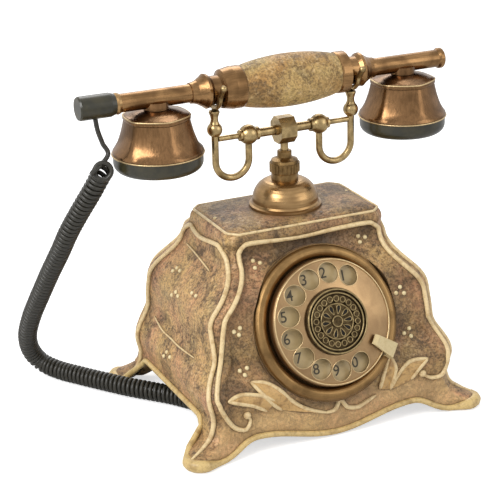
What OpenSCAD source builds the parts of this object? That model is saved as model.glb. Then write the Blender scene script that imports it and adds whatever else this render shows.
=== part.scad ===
// Ornate table telephone with a rotary dial, a two-hooked cradle and a bell-ended handset.
// Millimetres. The origin is on the table under the middle of the cradle post, the dial
// faces -Y, the handset lies along X and +Z is up.

/* [Casing] */
// Height of the casing at the edge of its top plate
casing_h = 124.5; // [121:0.5:130]
// How far the middle of the top plate stands above its edge
crown_h = 2; // [1:0.1:3]
// How far the rolled edge stands out beyond the top plate
roll_w = 3.4; // [2:0.1:4.5]
// Height of the rolled edge
roll_h = 6; // [4:0.5:7]
// Width of the top plate
top_w = 97.6; // [92:0.2:102]
// Depth of the top plate
top_d = 57.8; // [54:0.2:60]
// Width at the neck, under the top plate
neck_w = 106; // [102:0.5:112]
// Depth at the neck
neck_d = 61; // [58:0.5:64]
// Height of the neck on the sides
neck_z = 107; // [104:0.5:110]
// Width at the shoulder
shoulder_w = 145.6; // [142:0.2:150]
// Depth at the shoulder
shoulder_d = 101; // [98:0.5:104]
// Height of the shoulder
shoulder_z = 76; // [74:0.5:80]
// Width at the waist
waist_w = 145.6; // [142:0.2:150]
// Depth at the waist
waist_d = 115; // [112:0.5:118]
// Height of the waist
waist_z = 60; // [57:0.5:62]
// Width at the belly
belly_w = 162.6; // [156:0.2:166]
// Depth at the belly
belly_d = 135.6; // [130:0.2:140]
// Height of the belly
belly_z = 38; // [35:0.5:41]
// Width above the feet
ankle_w = 157; // [151:0.2:160]
// Depth above the feet
ankle_d = 132; // [128:0.5:136]
// Height of the narrowing above the feet
ankle_z = 24; // [22:0.5:27]
// How much higher the front swells and narrows than the sides do
front_lift = 7; // [3:0.5:8]
// Distance of the back from the middle, above the feet
back_ankle_y = 63; // [60:0.5:66]
// Distance of the back from the middle, at the belly
back_belly_y = 59.5; // [57:0.5:62]
// Distance of the back from the middle, at the waist
back_waist_y = 60.5; // [58:0.5:63]
// Distance of the back from the middle, at the shoulder
back_shoulder_y = 56.5; // [54:0.5:59]
// Distance of the back from the middle, at the neck
back_neck_y = 46; // [43:0.5:48]
// Reach of each front foot to the side
front_foot_x = 97; // [94:0.5:100]
// Reach of each front foot to the front
front_foot_y = 74; // [73:0.5:77]
// Reach of each back foot to the side
back_foot_x = 94; // [92:0.5:98]
// Reach of each back foot to the back
back_foot_y = 73; // [71:0.5:75]
// Leg of the bevelled corner band
corner_band = 5.5; // [4:0.1:7]
// Wall of the casing
casing_wall = 3; // [2.4:0.1:3.6]
// Depth of the sunk front panel
panel_recess = 1.6; // [0.8:0.1:2.2]
// Height of the arch in each side
side_arch_h = 20; // [16:0.5:21]
// Height of the arches in the front and back aprons
apron_arch_h = 9.7; // [6:0.1:14]
// Height of the apron's lowest point over the table
apron_drop = 1.2; // [0.8:0.1:4]
// Thickness of each foot pad
pad_t = 0.8; // [0.6:0.1:1.2]
// Radius of each foot pad
pad_r = 3.8; // [3:0.1:4]

/* [Base] */
// Height of the base plate's underside
plate_z = 22; // [21.5:0.5:24]
// Thickness of the base plate
plate_t = 1.4; // [1.2:0.1:2]
// Radius of the screws that hold the base plate
base_screw_r = 1.75; // [1.5:0.05:2]
// Radius of the gongs
gong_r = 20; // [18:0.5:21]
// Height of the gongs
gong_h = 12; // [10:0.5:14]
// Wall of the gongs
gong_wall = 1.2; // [1:0.1:1.6]
// Distance of each gong from the middle
gong_x = 26; // [25:0.5:28]

/* [Dial] */
// Height of the middle of the dial seat
dial_z = 68; // [67:0.5:70]
// Lean of the dial, back from upright
dial_tilt = 22.7; // [21:0.1:24]
// How deep the dial seat lies behind the front outline
seat_inset = 3.3; // [3:0.1:4]
// Radius of the bezel
bezel_r = 46.7; // [45:0.1:47]
// Height of the bezel's crest over its seat
bezel_h = 5.2; // [4:0.1:6]
// Radius of the finger wheel
wheel_r = 38; // [37:0.1:38.4]
// Height of the finger wheel's domed face at its middle, over the seat
wheel_h = 17; // [16.6:0.1:18]
// Thickness of the finger wheel
wheel_t = 1.4; // [1.2:0.1:1.8]
// Radius of each finger hole
finger_r = 6.3; // [6:0.1:6.8]
// Distance of the finger holes from the middle
finger_pitch_r = 29; // [28.8:0.1:29.2]
// Turn from one finger hole to the next
finger_step = 26; // [25:0.5:27]
// Place of the first finger hole, counted from the right
finger_start = 60.2; // [58:0.2:62]
// Radius of the pierced cap in the middle of the wheel
cap_r = 19.55; // [18.5:0.05:20]
// Place of the finger stop, counted from the right
stop_angle = -33.5; // [-36:0.5:-30]
// Radius of the dial shaft
dial_shaft_r = 3; // [2.5:0.1:3.4]
// Tooth module of the dial gears
gear_module = 0.7; // [0.65:0.01:0.72]
// Teeth of the main gear
main_teeth = 48; // [44:4:48]
// Teeth of the governor pinion
pinion_teeth = 12; // [12:1:12]

/* [Cradle] */
// Radius of the dome's foot
dome_r = 22; // [20:0.5:24]
// Height of the dome
dome_h = 16.5; // [14:0.5:18]
// Radius of the knurled nut
nut_r = 9.2; // [8.6:0.1:10]
// Height of the knurled nut with its collars
nut_h = 18; // [16:0.5:20]
// Radius of the plunger
plunger_r = 2.4; // [2:0.1:2.6]
// Height of the crossbar over the nut
crossbar_rise = 13; // [12:0.5:15]
// Distance of each crossbar ball from the middle
ball_x = 23.4; // [22:0.2:25]
// Radius of the crossbar balls
ball_r = 6; // [5.5:0.1:6.5]
// Distance of each fork post from the middle
post_x = 45; // [44.6:0.1:45.2]
// Radius of the hook wire
hook_wire_r = 2.1; // [1.8:0.1:2.3]
// Drop of the hooks below the crossbar
hook_drop = 25; // [22:0.5:26]
// Height of the handset over the crossbar
handset_rise = 30; // [29.5:0.5:32]
// Travel of the plunger
plunger_travel = 4; // [3:0.5:4.5]

/* [Handset] */
// Radius of the handset tube
tube_r = 5.4; // [5:0.1:5.8]
// Radius of the tube's bore
tube_bore_r = 4.2; // [3.8:0.1:4.4]
// Distance of the handset's right end from the middle
tube_end_x = 108; // [106:0.5:110]
// Distance of each cup from the middle
cup_x = 81; // [80:0.5:82]
// Radius of the neck that lies in the fork
neck_r = 8.4; // [8:0.1:8.8]
// Largest radius of the grip
grip_r = 15.8; // [14.5:0.1:17]
// Radius of the ferrules
ferrule_r = 12.6; // [12.4:0.1:13.4]
// Drop from the handset's line to the top of the cups
cup_drop = 6; // [5.9:0.1:6.4]
// Height of each flared shell
shell_h = 26.7; // [24:0.1:29]
// Corner radius of the shells at the top
shell_top_r = 18.5; // [17.5:0.1:20]
// Corner radius of the shells above the rim
shell_foot_r = 24.4; // [23:0.1:25]
// Radius of the rolled rim
cup_rim_r = 26.7; // [25.5:0.1:28]
// Radius of the dark cap under each cup
cap_end_r = 26.3; // [25:0.1:27]
// Height of the dark cap
cap_end_h = 9.6; // [8:0.1:11]
// Radius of the cord cap at the left end
cord_cap_r = 7; // [6.4:0.1:7.6]
// Length of the cord cap
cord_cap_l = 22; // [18:0.5:24]

/* [Cord] */
// Radius of the curly cord over its turns
curl_r = 6.2; // [5.8:0.1:6.2]
// Radius of the straight leads
lead_r = 1.4; // [1.2:0.1:1.6]

/* [Hidden] */
$fn = 64;
eps = 0.01;
fit = 0.05;      // radial clearance of a running fit
part_gap = 0.3;  // gap between pieces that move past each other

// Heights that stack up from the casing
dome_z = casing_h + crown_h;
nut_z = dome_z + dome_h;
nut_top_z = nut_z + nut_h;
crossbar_z = nut_top_z + crossbar_rise;
handset_z = crossbar_z + handset_rise;
cup_z = handset_z - cup_drop;
rim_z = cup_z - shell_h;
top_inside_z = casing_h - casing_wall;

// Curves of the casing: height against half width, and height against half depth
side_curve = [
    [ankle_z, ankle_w / 2], [belly_z, belly_w / 2], [waist_z, waist_w / 2],
    [shoulder_z, shoulder_w / 2], [neck_z, neck_w / 2], [casing_h - roll_h, top_w / 2 + roll_w]
];
front_curve = [
    [ankle_z, ankle_d / 2], [belly_z - 4, belly_d / 2], [waist_z - 4, waist_d / 2],
    [shoulder_z + front_lift + 2, shoulder_d / 2], [neck_z + front_lift, neck_d / 2],
    [casing_h - roll_h, top_d / 2 + roll_w]
];
back_curve = [
    [ankle_z, back_ankle_y], [belly_z + 5, back_belly_y], [waist_z + 4, back_waist_y],
    [shoulder_z + 3, back_shoulder_y], [neck_z - 2, back_neck_y], [casing_h - roll_h, top_d / 2 + roll_w]
];
function ease(t) = (1 - cos(180 * max(0, min(1, t)))) / 2;
function mix(a, b, t) = a + (b - a) * t;
function eased(curve, z, i = 0) =
    z <= curve[0][0] ? curve[0][1]
    : i + 1 >= len(curve) ? curve[i][1]
    : z > curve[i + 1][0] ? eased(curve, z, i + 1)
    : mix(curve[i][1], curve[i + 1][1], ease((z - curve[i][0]) / (curve[i + 1][0] - curve[i][0])));
// Drawn in by the rolled edge at height z
function roll(z) = let (t = max(0, z - casing_h + roll_h) / roll_h) roll_w * (1 - sqrt(max(0, 1 - t * t)));
// Share of the feet's reach at height z
function spread(z) = lookup(z, [
    [0, 0.72], [2, 0.9], [5, 1], [7, 0.95], [10, 0.58], [13, 0.28], [17, 0.1], [ankle_z, 0]
]);
panel_low_z = 16;
panel_top_z = casing_h - 5;
function recess(z) = panel_recess * ease((z - panel_low_z) / 8) * ease((panel_top_z - z) / 4);

// One quarter of the casing's outline, from the X axis round to the Y axis: x and y are
// the half sizes, c the corner band, r the sunk panel, foot the foot's reach and s its share
bead_w = 3.5;
function quarter(x, y, c, r, foot, s) = let (
    fx = mix(x, foot[0], s), fy = mix(y, foot[1], s), k = mix(c, 8, s)
) [
    [mix(x, foot[0], 0.3 * s), 0],
    [mix(x, foot[0], 0.3 * s), 0.6 * (y - c)],
    [fx, fy - k],
    [fx - 0.5 * k + 0.2 * k * s, fy - 0.5 * k + 0.2 * k * s],
    [fx - k, fy],
    [mix(x - c - bead_w, fx - 17, s), mix(y, fy, 0.6 * s)],
    [x - c - bead_w - 2, mix(y - r, fy, 0.25 * s)],
    [(x - c) / 2, y - r],
    [0, y - r]
];
function back_to_front(list) = [for (i = [len(list) - 1:-1:0]) list[i]];
function middle(list, from, to) = [for (i = [from:to]) list[i]];
// The whole outline: x, front and back are its reaches from the middle
function outline(x, front, back, c, r, s) =
    let (
        rear = quarter(x, back, c, 0, [back_foot_x, back_foot_y], s),
        face = quarter(x, front, c, r, [front_foot_x, front_foot_y], s),
        n = len(rear) - 1
    )
    concat(
        rear,
        [for (p = middle(back_to_front(rear), 1, n)) [-p[0], p[1]]],
        [for (p = middle(face, 1, n)) [-p[0], -p[1]]],
        [for (p = middle(back_to_front(face), 1, n - 1)) [p[0], -p[1]]]
    );
function outer_ring(z) = outline(
    eased(side_curve, z) - roll(z), eased(front_curve, z) - roll(z), eased(back_curve, z) - roll(z),
    corner_band, recess(z), spread(z)
);
function inner_ring(z) =
    let (
        x = eased(side_curve, z) - casing_wall,
        front = eased(front_curve, z) - casing_wall - recess(z),
        back = eased(back_curve, z) - casing_wall,
        c = corner_band
    )
    [
        [x, back - c], [x - c, back], [c - x, back], [-x, back - c],
        [-x, c - front], [c - x, -front], [x - c, -front], [x, c - front]
    ];
// The rings are joined into one closed solid, from the lowest ring up
module loft(rings, heights) {
    n = len(rings[0]);
    m = len(rings);
    points = [for (k = [0:m - 1]) for (p = rings[k]) [p[0], p[1], heights[k]]];
    walls = [
        for (k = [0:m - 2]) for (i = [0:n - 1])
            let (j = (i + 1) % n, a = k * n + i, b = k * n + j, c = (k + 1) * n + j, d = (k + 1) * n + i)
            each [[a, c, b], [a, d, c]]
    ];
    low_end = [for (i = [0:n - 1]) i];
    high_end = [for (i = [n - 1:-1:0]) (m - 1) * n + i];
    polyhedron(points, concat(walls, [low_end, high_end]));
}
crown_steps = [[2, 0.35], [6, 0.8], [6.5, 1]]; // inset from the edge and share of the crown
outer_heights = concat(
    [pad_t, 2, 5, 7, 8.5, 10, 13, 17, ankle_z, 30, 37, 43, 49, 55, 62, 70, 77, 84, 91, 97, 103],
    [109, 114],
    [for (k = [1, 0.6, 0.3, 0.1, 0]) casing_h - k * roll_h]
);
inner_heights = [-1, ankle_z, 31, 38, 46, 54, 62, 70, 78, 86, 94, 102, 110, top_inside_z];

// Dial frame: local z is the height over the seat, local y points up the dial
seat_y = -(eased(front_curve, dial_z) - seat_inset);
module at_dial() {
    translate([0, seat_y, dial_z]) rotate([90 - dial_tilt, 0, 0]) children();
}
seat_r = bezel_r + 0.3;
seat_t = 3;
can_r = 33.8;
can_wall = 2.6;
can_floor = -12;
flange_r = bezel_r - 6;
flange_t = 1.6;
plate_low = 7.8;    // underside of the number plate
plate_h = 1;
wheel_flat = 15;    // flat middle of the finger wheel
wheel_curve_r = 111; // radius of the domed face
dial_screw_r = 1.2;
dial_head_h = 1.6;
dial_screw_pitch_r = can_r + 3.6;
function wheel_face(r) = wheel_h - wheel_curve_r + sqrt(wheel_curve_r * wheel_curve_r - r * r);
main_pitch_r = gear_module * main_teeth / 2;
pinion_pitch_r = gear_module * pinion_teeth / 2;
governor_r = main_pitch_r + pinion_pitch_r;
governor_angle = 200;
gear_low = -6;
gear_t = 2;

// Base plate and what stands on it
plate_top = plate_z + plate_t;
plate_x = eased(side_curve, plate_z) - casing_wall - 1.5;
plate_front = eased(front_curve, plate_z) - casing_wall - 2.5;
plate_back = eased(back_curve, plate_z) - casing_wall - 2.5;
boss_r = 5;
boss_edge = 2;         // from a post to the edge of the base plate
boss_x = min(waist_w / 2 - casing_wall - boss_r + 1.8, plate_x - boss_r - boss_edge);
boss_y = 30;
gong_y = 22;
gong_z = plate_top + 8;
gong_post_r = 3;
clapper_y = 43;
clapper_pin_r = 1.2;
clapper_ball_r = 3.2;
coil_x = 8.4;
coil_r = 6;
coil_h = 17;
board = [24, 34, 1.6];
board_at = [boss_r + 3 - boss_x, -38, plate_top + 4];
jack = [14, 17, 13.6];
jack_x = 45;
jack_y = eased(back_curve, plate_top + 7) + 0.5 - jack[1];
socket_at = [-50, -12];
socket_r = 5;

// Cradle and hook switch
frame_low_z = 88;
frame_in_x = 8;
frame_t = 1.6;
shelf_z = 100;
spring_seat_z = 112;
spring_wire_r = 0.55;
spring_r = 4;
spring_turns = 5;
plunger_foot_z = 96;
lever_y = 16;
lever_pin_r = 1.5;
lever_t = 1.2;
lever_nose = 2.6;   // reach past the middle of the plunger
lever_tail = 6;     // reach behind the lever's pin
lever_z = plunger_foot_z - part_gap - lever_t;
hook_r = (post_x - ball_x) / 2;
hook_mid_x = (post_x + ball_x) / 2;
hook_bend_z = crossbar_z - hook_drop + hook_r;
finial_z = crossbar_z + 6;
finial_r = 4.6;
fork_flare_z = crossbar_z + 16.5;
fork_wire_r = 1.6;
fork_r = neck_r + part_gap + fork_wire_r;
rod_r = 2.75;
thin_rod_r = 1.65;
collar_r = 4;

// Handset
ring_x = -104.3;
cap_far_x = -106.4;
// Longer than the handset from end to end
through_all = 4 * cup_x;
// Where the cord leaves the cord cap
cord_exit_x = ring_x - cord_cap_l + 8.3;

// Route of the cord, from under the cord cap to the socket under the base plate
lead_upper_route = [
    [cord_exit_x, 0, handset_z - 7], [cord_exit_x + 1, 0, handset_z - 14], [-114.5, 0, 182],
    [-112.5, -2, 175], [-113.4, -4, 170.5], [-115.9, -2.1, 166.3]
];
curl_route = [
    [-116, -2, 166], [-121, 4, 153], [-126, 12, 140], [-131, 21, 125], [-134, 32, 109], [-137, 45, 92],
    [-140, 60, 72], [-142, 75, 53], [-142, 88, 35], [-138, 97, 20], [-131, 98, 9.5], [-123, 87, 6.5],
    [-114, 73, 6.5], [-105, 60, 6.5], [-92, 42, 6.5], [-81, 29, 6.5], [-71, 17, 6.5], [-62, 3, 6.5]
];
lead_lower_route = [[-62, 3, 6.5], [-58, -4, 6.5], [-54, -9, 8], [-51, -11.5, 12], [-50, -12, 18]];

// A smooth line through chosen points
function bend(p0, p1, p2, p3, t) =
    0.5 * ((2 * p1) + (p2 - p0) * t + (2 * p0 - 5 * p1 + 4 * p2 - p3) * t * t
    + (3 * p1 - p0 - 3 * p2 + p3) * t * t * t);
function at(list, i) = list[max(0, min(len(list) - 1, i))];
function smooth(route, steps) = concat(
    [
        for (i = [0:len(route) - 2]) for (s = [0:steps - 1])
            bend(at(route, i - 1), at(route, i), at(route, i + 1), at(route, i + 2), s / steps)
    ],
    [at(route, len(route))]
);
function unit(v) = v / norm(v);
function headings(line) = [for (i = [0:len(line) - 1]) unit(at(line, i + 1) - at(line, i - 1))];
function carried(ways, side, i = 0, found = []) =
    i >= len(ways) ? found
    : let (next = unit(side - (side * ways[i]) * ways[i])) carried(ways, next, i + 1, concat(found, [next]));
// A tube of radius r swept along a line of points
module tube_along(line, r, sides) {
    ways = headings(line);
    across = carried(ways, unit(cross(ways[0], [0.2, 1, 0.1])));
    m = len(line);
    points = [
        for (k = [0:m - 1]) for (i = [0:sides - 1])
            line[k] + r * (cos(360 * i / sides) * across[k] + sin(360 * i / sides) * cross(ways[k], across[k]))
    ];
    walls = [
        for (k = [0:m - 2]) for (i = [0:sides - 1])
            let (j = (i + 1) % sides, a = k * sides + i, b = k * sides + j, c = b + sides, d = a + sides)
            each [[a, c, b], [a, d, c]]
    ];
    polyhedron(points, concat(
        walls, [[for (i = [0:sides - 1]) i]], [[for (i = [sides - 1:-1:0]) (m - 1) * sides + i]]
    ));
}

// Turned piece along X: profile points are [x, radius]
module turned_x(profile) {
    rotate([0, 90, 0]) rotate_extrude() polygon([for (p = profile) [p[1], p[0]]]);
}
module tube_bore(length) {
    rotate([0, 90, 0]) cylinder(r = tube_r, h = length, center = true);
}
module at_handset() {
    translate([0, 0, handset_z]) children();
}
module screw(head_r, head_h, shank_r, shank_l) {
    difference() {
        cylinder(r = head_r, h = head_h);
        translate([-head_r, -0.3, -eps]) cube([2 * head_r, 0.6, 0.6]);
    }
    translate([0, 0, head_h - eps]) cylinder(r = shank_r, h = shank_l);
}
function arc(cx, cy, r, from, to, steps) =
    [for (i = [0:steps]) let (a = from + (to - from) * i / steps) [cx + r * cos(a), cy + r * sin(a)]];

// ---------------------------------------------------------------- casing and base

module wave_cut() {
    half_arch = 52;
    far = 78;
    xs = [for (i = [0:13]) i * 8];
    function wave(x) = x < half_arch ? mix(apron_drop, apron_arch_h, ease(x / half_arch))
        : mix(apron_arch_h, 0, ease((x - half_arch) / (far - half_arch)));
    rotate([90, 0, 0]) linear_extrude(2 * front_foot_y + 20, center = true) polygon(concat(
        [for (i = [len(xs) - 1:-1:1]) [-xs[i], wave(xs[i])]], [for (x = xs) [x, wave(x)]],
        [[110, -2], [-110, -2]]
    ));
}
module side_cut() {
    flat = 42;
    far = 61;
    ys = concat([0], [for (i = [0:6]) mix(flat, far, i / 6)]);
    function rise(y) = mix(side_arch_h, -0.5, ease((y - flat) / (far - flat)));
    rotate([90, 0, 90]) linear_extrude(2 * front_foot_x + 20, center = true) polygon(concat(
        [for (i = [len(ys) - 1:-1:1]) [-ys[i], rise(ys[i])]], [for (y = ys) [y, rise(y)]],
        [[far, -2], [-far, -2]]
    ));
}
module at_bosses() {
    for (x = [-1, 1], y = [-1, 1]) translate([x * boss_x, y * boss_y, 0]) children();
}
module at_feet() {
    for (x = [-1, 1]) {
        translate([x * (front_foot_x - 10), 8.5 - front_foot_y, 0]) children();
        translate([x * (back_foot_x - 9), back_foot_y - 8.5, 0]) children();
    }
}
module at_dial_screws() {
    for (a = [90, 210, 330]) rotate([0, 0, a]) translate([dial_screw_pitch_r, 0, 0]) children();
}
hook_screw_x = 15;
// resize() with no new size keeps the curved shell as one faceted solid
module casing() {
    crown_rings = [
        for (s = crown_steps) let (y = top_d / 2 - s[0])
            outline(top_w / 2 - s[0], y, y, corner_band - 0.4 * s[0], 0, 0)
    ];
    jack_gap = 0.2;
    color("rosybrown") resize([0, 0, 0]) difference() {
        union() {
            difference() {
                loft(
                    concat([for (z = outer_heights) outer_ring(z)], crown_rings),
                    concat(outer_heights, [for (s = crown_steps) casing_h + crown_h * s[1]])
                );
                loft([for (z = inner_heights) inner_ring(z)], inner_heights);
                wave_cut();
                side_cut();
                at_dial() translate([0, 0, -seat_t / 2]) cylinder(r = seat_r, h = 30);
                at_dial() translate([0, 0, -seat_t - 15]) cylinder(r = flange_r + part_gap, h = 16);
            }
            at_dial() translate([0, 0, -seat_t]) cylinder(r = seat_r + 0.4, h = seat_t);
            for (x = [-1, 1]) translate([x * hook_screw_x, 0, top_inside_z - 3])
                cylinder(r = 3, h = 4, $fn = 24);
        }
        at_dial() translate([0, 0, -seat_t - 5]) cylinder(r = can_r + part_gap, h = seat_t + 10);
        at_dial() translate([0, 0, -seat_t - 1]) at_dial_screws()
            cylinder(r = dial_screw_r + 0.1, h = seat_t + 2, $fn = 16);
        for (x = [-1, 1]) translate([x * hook_screw_x, 0, top_inside_z - 4])
            cylinder(r = 1.55, h = 5, $fn = 24);
        translate([0, 0, top_inside_z - 2]) cylinder(r = plunger_r + 1, h = 10, $fn = 32);
        translate([jack_x - jack[0] / 2 - jack_gap, jack_y, plate_top - 1])
            cube([jack[0] + 2 * jack_gap, 30, jack[2] + 1 + jack_gap]);
    }
}
module casing_posts() {
    color("rosybrown") difference() {
        at_bosses() translate([0, 0, plate_top]) cylinder(r = boss_r, h = waist_z + 3 - plate_top);
        at_bosses() translate([0, 0, plate_top - 1]) cylinder(r = base_screw_r, h = 11);
    }
}
module foot_pads() {
    color("dimgray") at_feet() cylinder(r = pad_r, h = pad_t);
}
module base_plate() {
    color("darkgray") difference() {
        translate([0, 0, plate_z]) linear_extrude(plate_t) polygon([
            [plate_x, 12 - plate_front], [plate_x, plate_back - 12],
            [plate_x - 12, plate_back], [12 - plate_x, plate_back],
            [-plate_x, plate_back - 12], [-plate_x, 12 - plate_front],
            [12 - plate_x, -plate_front], [plate_x - 12, -plate_front]
        ]);
        at_bosses() translate([0, 0, plate_z - 1]) cylinder(r = base_screw_r + 0.2, h = plate_t + 2);
        translate([socket_at[0], socket_at[1], plate_z - 1]) cylinder(r = socket_r - 1.5, h = plate_t + 2);
    }
}
module base_screws() {
    color("silver") at_bosses() translate([0, 0, plate_z - 1.8]) screw(3.4, 1.8, base_screw_r, plate_t + 7);
}
module line_jack() {
    color("ivory") translate([jack_x - jack[0] / 2, jack_y, plate_top]) difference() {
        cube(jack);
        translate([2, 6, 2]) cube([jack[0] - 4, jack[1], jack[2] - 5]);
        translate([jack[0] / 2 - 2, 6, 8]) cube([4, jack[1], 3.6]);
    }
}
module cord_socket() {
    color("dimgray") translate([socket_at[0], socket_at[1], 18]) difference() {
        union() {
            cylinder(r = socket_r, h = plate_z - 18);
            cylinder(r = socket_r - 1.5 - fit, h = plate_top + 3 - 18);
        }
        translate([0, 0, -1]) cylinder(r = lead_r, h = 20);
    }
}
module network_board() {
    color("saddlebrown") translate(board_at) cube(board);
    color("ivory") for (x = [3, board[0] - 3], y = [3, board[1] - 3]) {
        translate([board_at[0] + x, board_at[1] + y, plate_top]) cylinder(r = 2, h = board_at[2] - plate_top);
    }
}
module board_parts() {
    translate([board_at[0], board_at[1], board_at[2] + board[2]]) {
        color("goldenrod") translate([2, 3, 0]) cube([9, 16, 7]);
        color("steelblue") translate([17, 9, 0]) cylinder(r = 4, h = 9);
        color("ivory") translate([3, 23, 0]) difference() {
            cube([18, 8, 5]);
            for (x = [3:4:15]) translate([x, 4, 2]) cylinder(r = 1.1, h = 4);
        }
    }
}
module ringer_frame() {
    color("darkgray") difference() {
        translate([-18, clapper_y - 8, plate_top]) cube([36, 16, 2]);
        translate([0, clapper_y, plate_top - 1]) cylinder(r = clapper_pin_r + fit, h = 6);
    }
    color("darkgray") translate([0, clapper_y, plate_top + 2]) difference() {
        cylinder(r = clapper_pin_r + 1, h = 3);
        translate([0, 0, -1]) cylinder(r = clapper_pin_r + fit, h = 6);
    }
}
module ringer_coils() {
    for (x = [-1, 1]) translate([x * coil_x, clapper_y, plate_top + 2]) {
        color("darkred") translate([0, 0, 1]) cylinder(r = coil_r - 0.5, h = coil_h - 2);
        color("ivory") cylinder(r = coil_r, h = 1.2);
        color("ivory") translate([0, 0, coil_h - 1.2]) cylinder(r = coil_r, h = 1.2);
    }
}
module gong(side) {
    inner = gong_r - gong_wall;
    color("gold") translate([side * gong_x, gong_y, gong_z]) rotate_extrude() polygon(concat(
        [[gong_r, 0]], arc(gong_r - 6, gong_h - 6, 6, 0, 90, 6), [[gong_post_r - 1.4, gong_h]],
        [[gong_post_r - 1.4, gong_h - gong_wall]],
        arc(inner - 5, gong_h - gong_wall - 5, 5, 90, 0, 6), [[inner, 0]]
    ));
}
module gong_left() gong(-1);
module gong_right() gong(1);
module gong_screws() {
    color("silver") for (x = [-1, 1]) translate([x * gong_x, gong_y, plate_top]) {
        cylinder(r = gong_post_r, h = gong_z - plate_top + gong_h - gong_wall);
        translate([0, 0, gong_z - plate_top]) cylinder(r = gong_post_r - 1.4, h = gong_h + 2);
        translate([0, 0, gong_z - plate_top + gong_h]) cylinder(r = gong_post_r, h = 2);
    }
}
module clapper() {
    arm_z = plate_top + 2 + coil_h + 1;
    ball_y = gong_y;
    color("silver") {
        translate([0, clapper_y, plate_top + 0.4]) cylinder(r = clapper_pin_r, h = arm_z - plate_top);
        translate([-12, clapper_y - 3, arm_z]) cube([24, 6, 1.6]);
        translate([0, clapper_y - 2, arm_z + 0.8]) rotate([90, 0, 0])
            cylinder(r = 0.8, h = clapper_y - 2 - ball_y);
        translate([0, ball_y, arm_z - 6]) cylinder(r = 0.8, h = 7.6);
    }
    color("gold") translate([0, ball_y, arm_z - 7]) sphere(r = clapper_ball_r);
}

// ---------------------------------------------------------------- dial

module dial_bezel() {
    crest_r = 4.1;
    crest_at = bezel_r - 4.4;
    color("peru") at_dial() difference() {
        rotate_extrude() polygon(concat(
            [[can_r + 0.4, 0], [bezel_r, 0], [bezel_r, 1.6]],
            arc(crest_at, bezel_h - crest_r, crest_r, 8, 168, 12),
            [[can_r + 0.4, 1.4]]
        ));
        translate([0, 0, -1]) at_dial_screws() cylinder(r = dial_screw_r, h = 2);
        rotate([0, 0, stop_angle]) intersection() {
            translate([stop_foot[0] - 0.5, -10, stop_low]) cube([stop_foot[1] - stop_foot[0] + 1, 20, 10]);
            translate([0, 0, -1]) linear_extrude(20) stop_outline();
        }
    }
}
module dial_screws() {
    color("silver") at_dial() at_dial_screws() translate([0, 0, -seat_t - flange_t - dial_head_h])
        screw(2.2, dial_head_h, dial_screw_r, seat_t + flange_t + 0.8);
}
module dial_frame() {
    color("gray") at_dial() difference() {
        union() {
            translate([0, 0, can_floor]) cylinder(r = can_r, h = plate_low - can_floor);
            translate([0, 0, -seat_t - flange_t]) cylinder(r = flange_r, h = flange_t);
        }
        translate([0, 0, can_floor + 1.8]) cylinder(r = can_r - can_wall, h = plate_low - can_floor);
        translate([0, 0, can_floor - 1]) cylinder(r = dial_shaft_r + fit, h = 4);
        rotate([0, 0, governor_angle]) translate([governor_r, 0, can_floor - 1]) cylinder(r = 1.5 + fit, h = 4);
        translate([0, 0, -seat_t - 3]) at_dial_screws() cylinder(r = dial_screw_r + fit, h = 4);
    }
}
module number_plate() {
    color("wheat") at_dial() translate([0, 0, plate_low]) difference() {
        cylinder(r = can_r + 1.4, h = plate_h);
        translate([0, 0, -1]) cylinder(r = dial_shaft_r + 1.5, h = plate_h + 2);
    }
}
stop_foot = [bezel_r - 6.3, bezel_r - 2.1];  // from the middle of the dial to the two faces of the stop's foot
stop_low = 2.5;
module stop_outline() {
    near = wheel_r - 18;
    far = bezel_r - 0.7;
    polygon([[near, -2.4], [far, -4.8], [far, 4.8], [near, 2.4]]);
}
module finger_stop() {
    tip_r = wheel_r - 11.4;
    rest_h = wheel_face(tip_r) + 1.4;
    color("moccasin") at_dial() rotate([0, 0, stop_angle]) intersection() {
        rotate([90, 0, 0]) linear_extrude(12, center = true) polygon([
            [stop_foot[0], stop_low], [stop_foot[1], stop_low],
            [stop_foot[1] + 0.8, 9], [stop_foot[1] - 0.6, 11.4],
            [tip_r + 2.4, rest_h + 1.6], [tip_r, rest_h + 1.4], [tip_r - 0.4, rest_h + 0.4],
            [stop_foot[0] - 1.8, 11.4], [stop_foot[0] - 0.4, 9.5]
        ]);
        linear_extrude(40) stop_outline();
    }
}
module governor_cup() {
    color("gray") at_dial() rotate([0, 0, governor_angle]) translate([governor_r, 0, -3]) difference() {
        union() {
            cylinder(r = 8.6, h = 9);
            translate([4, -5, can_floor + 1.8 + 3]) cube([4.6, 10, -can_floor - 1.8 - 2]);
        }
        translate([0, 0, -1]) cylinder(r = 7.2, h = 9);
        translate([0, 0, 5]) cylinder(r = 1.5 + fit, h = 6);
        translate([0, 0, -10]) cylinder(r = 6, h = 10);
    }
}
module pulse_contacts() {
    color("saddlebrown") at_dial() rotate([0, 0, 70]) translate([20, -5, can_floor + 1.8]) cube([9, 10, 9]);
    color("gold") at_dial() rotate([0, 0, 70]) for (y = [-2.4, 1.8]) {
        translate([21, y, can_floor + 10.8]) cube([7, 0.6, 5]);
    }
}
module at_finger_holes() {
    for (i = [0:9]) rotate([0, 0, finger_start + i * finger_step]) translate([finger_pitch_r, 0, 0]) children();
}
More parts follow.
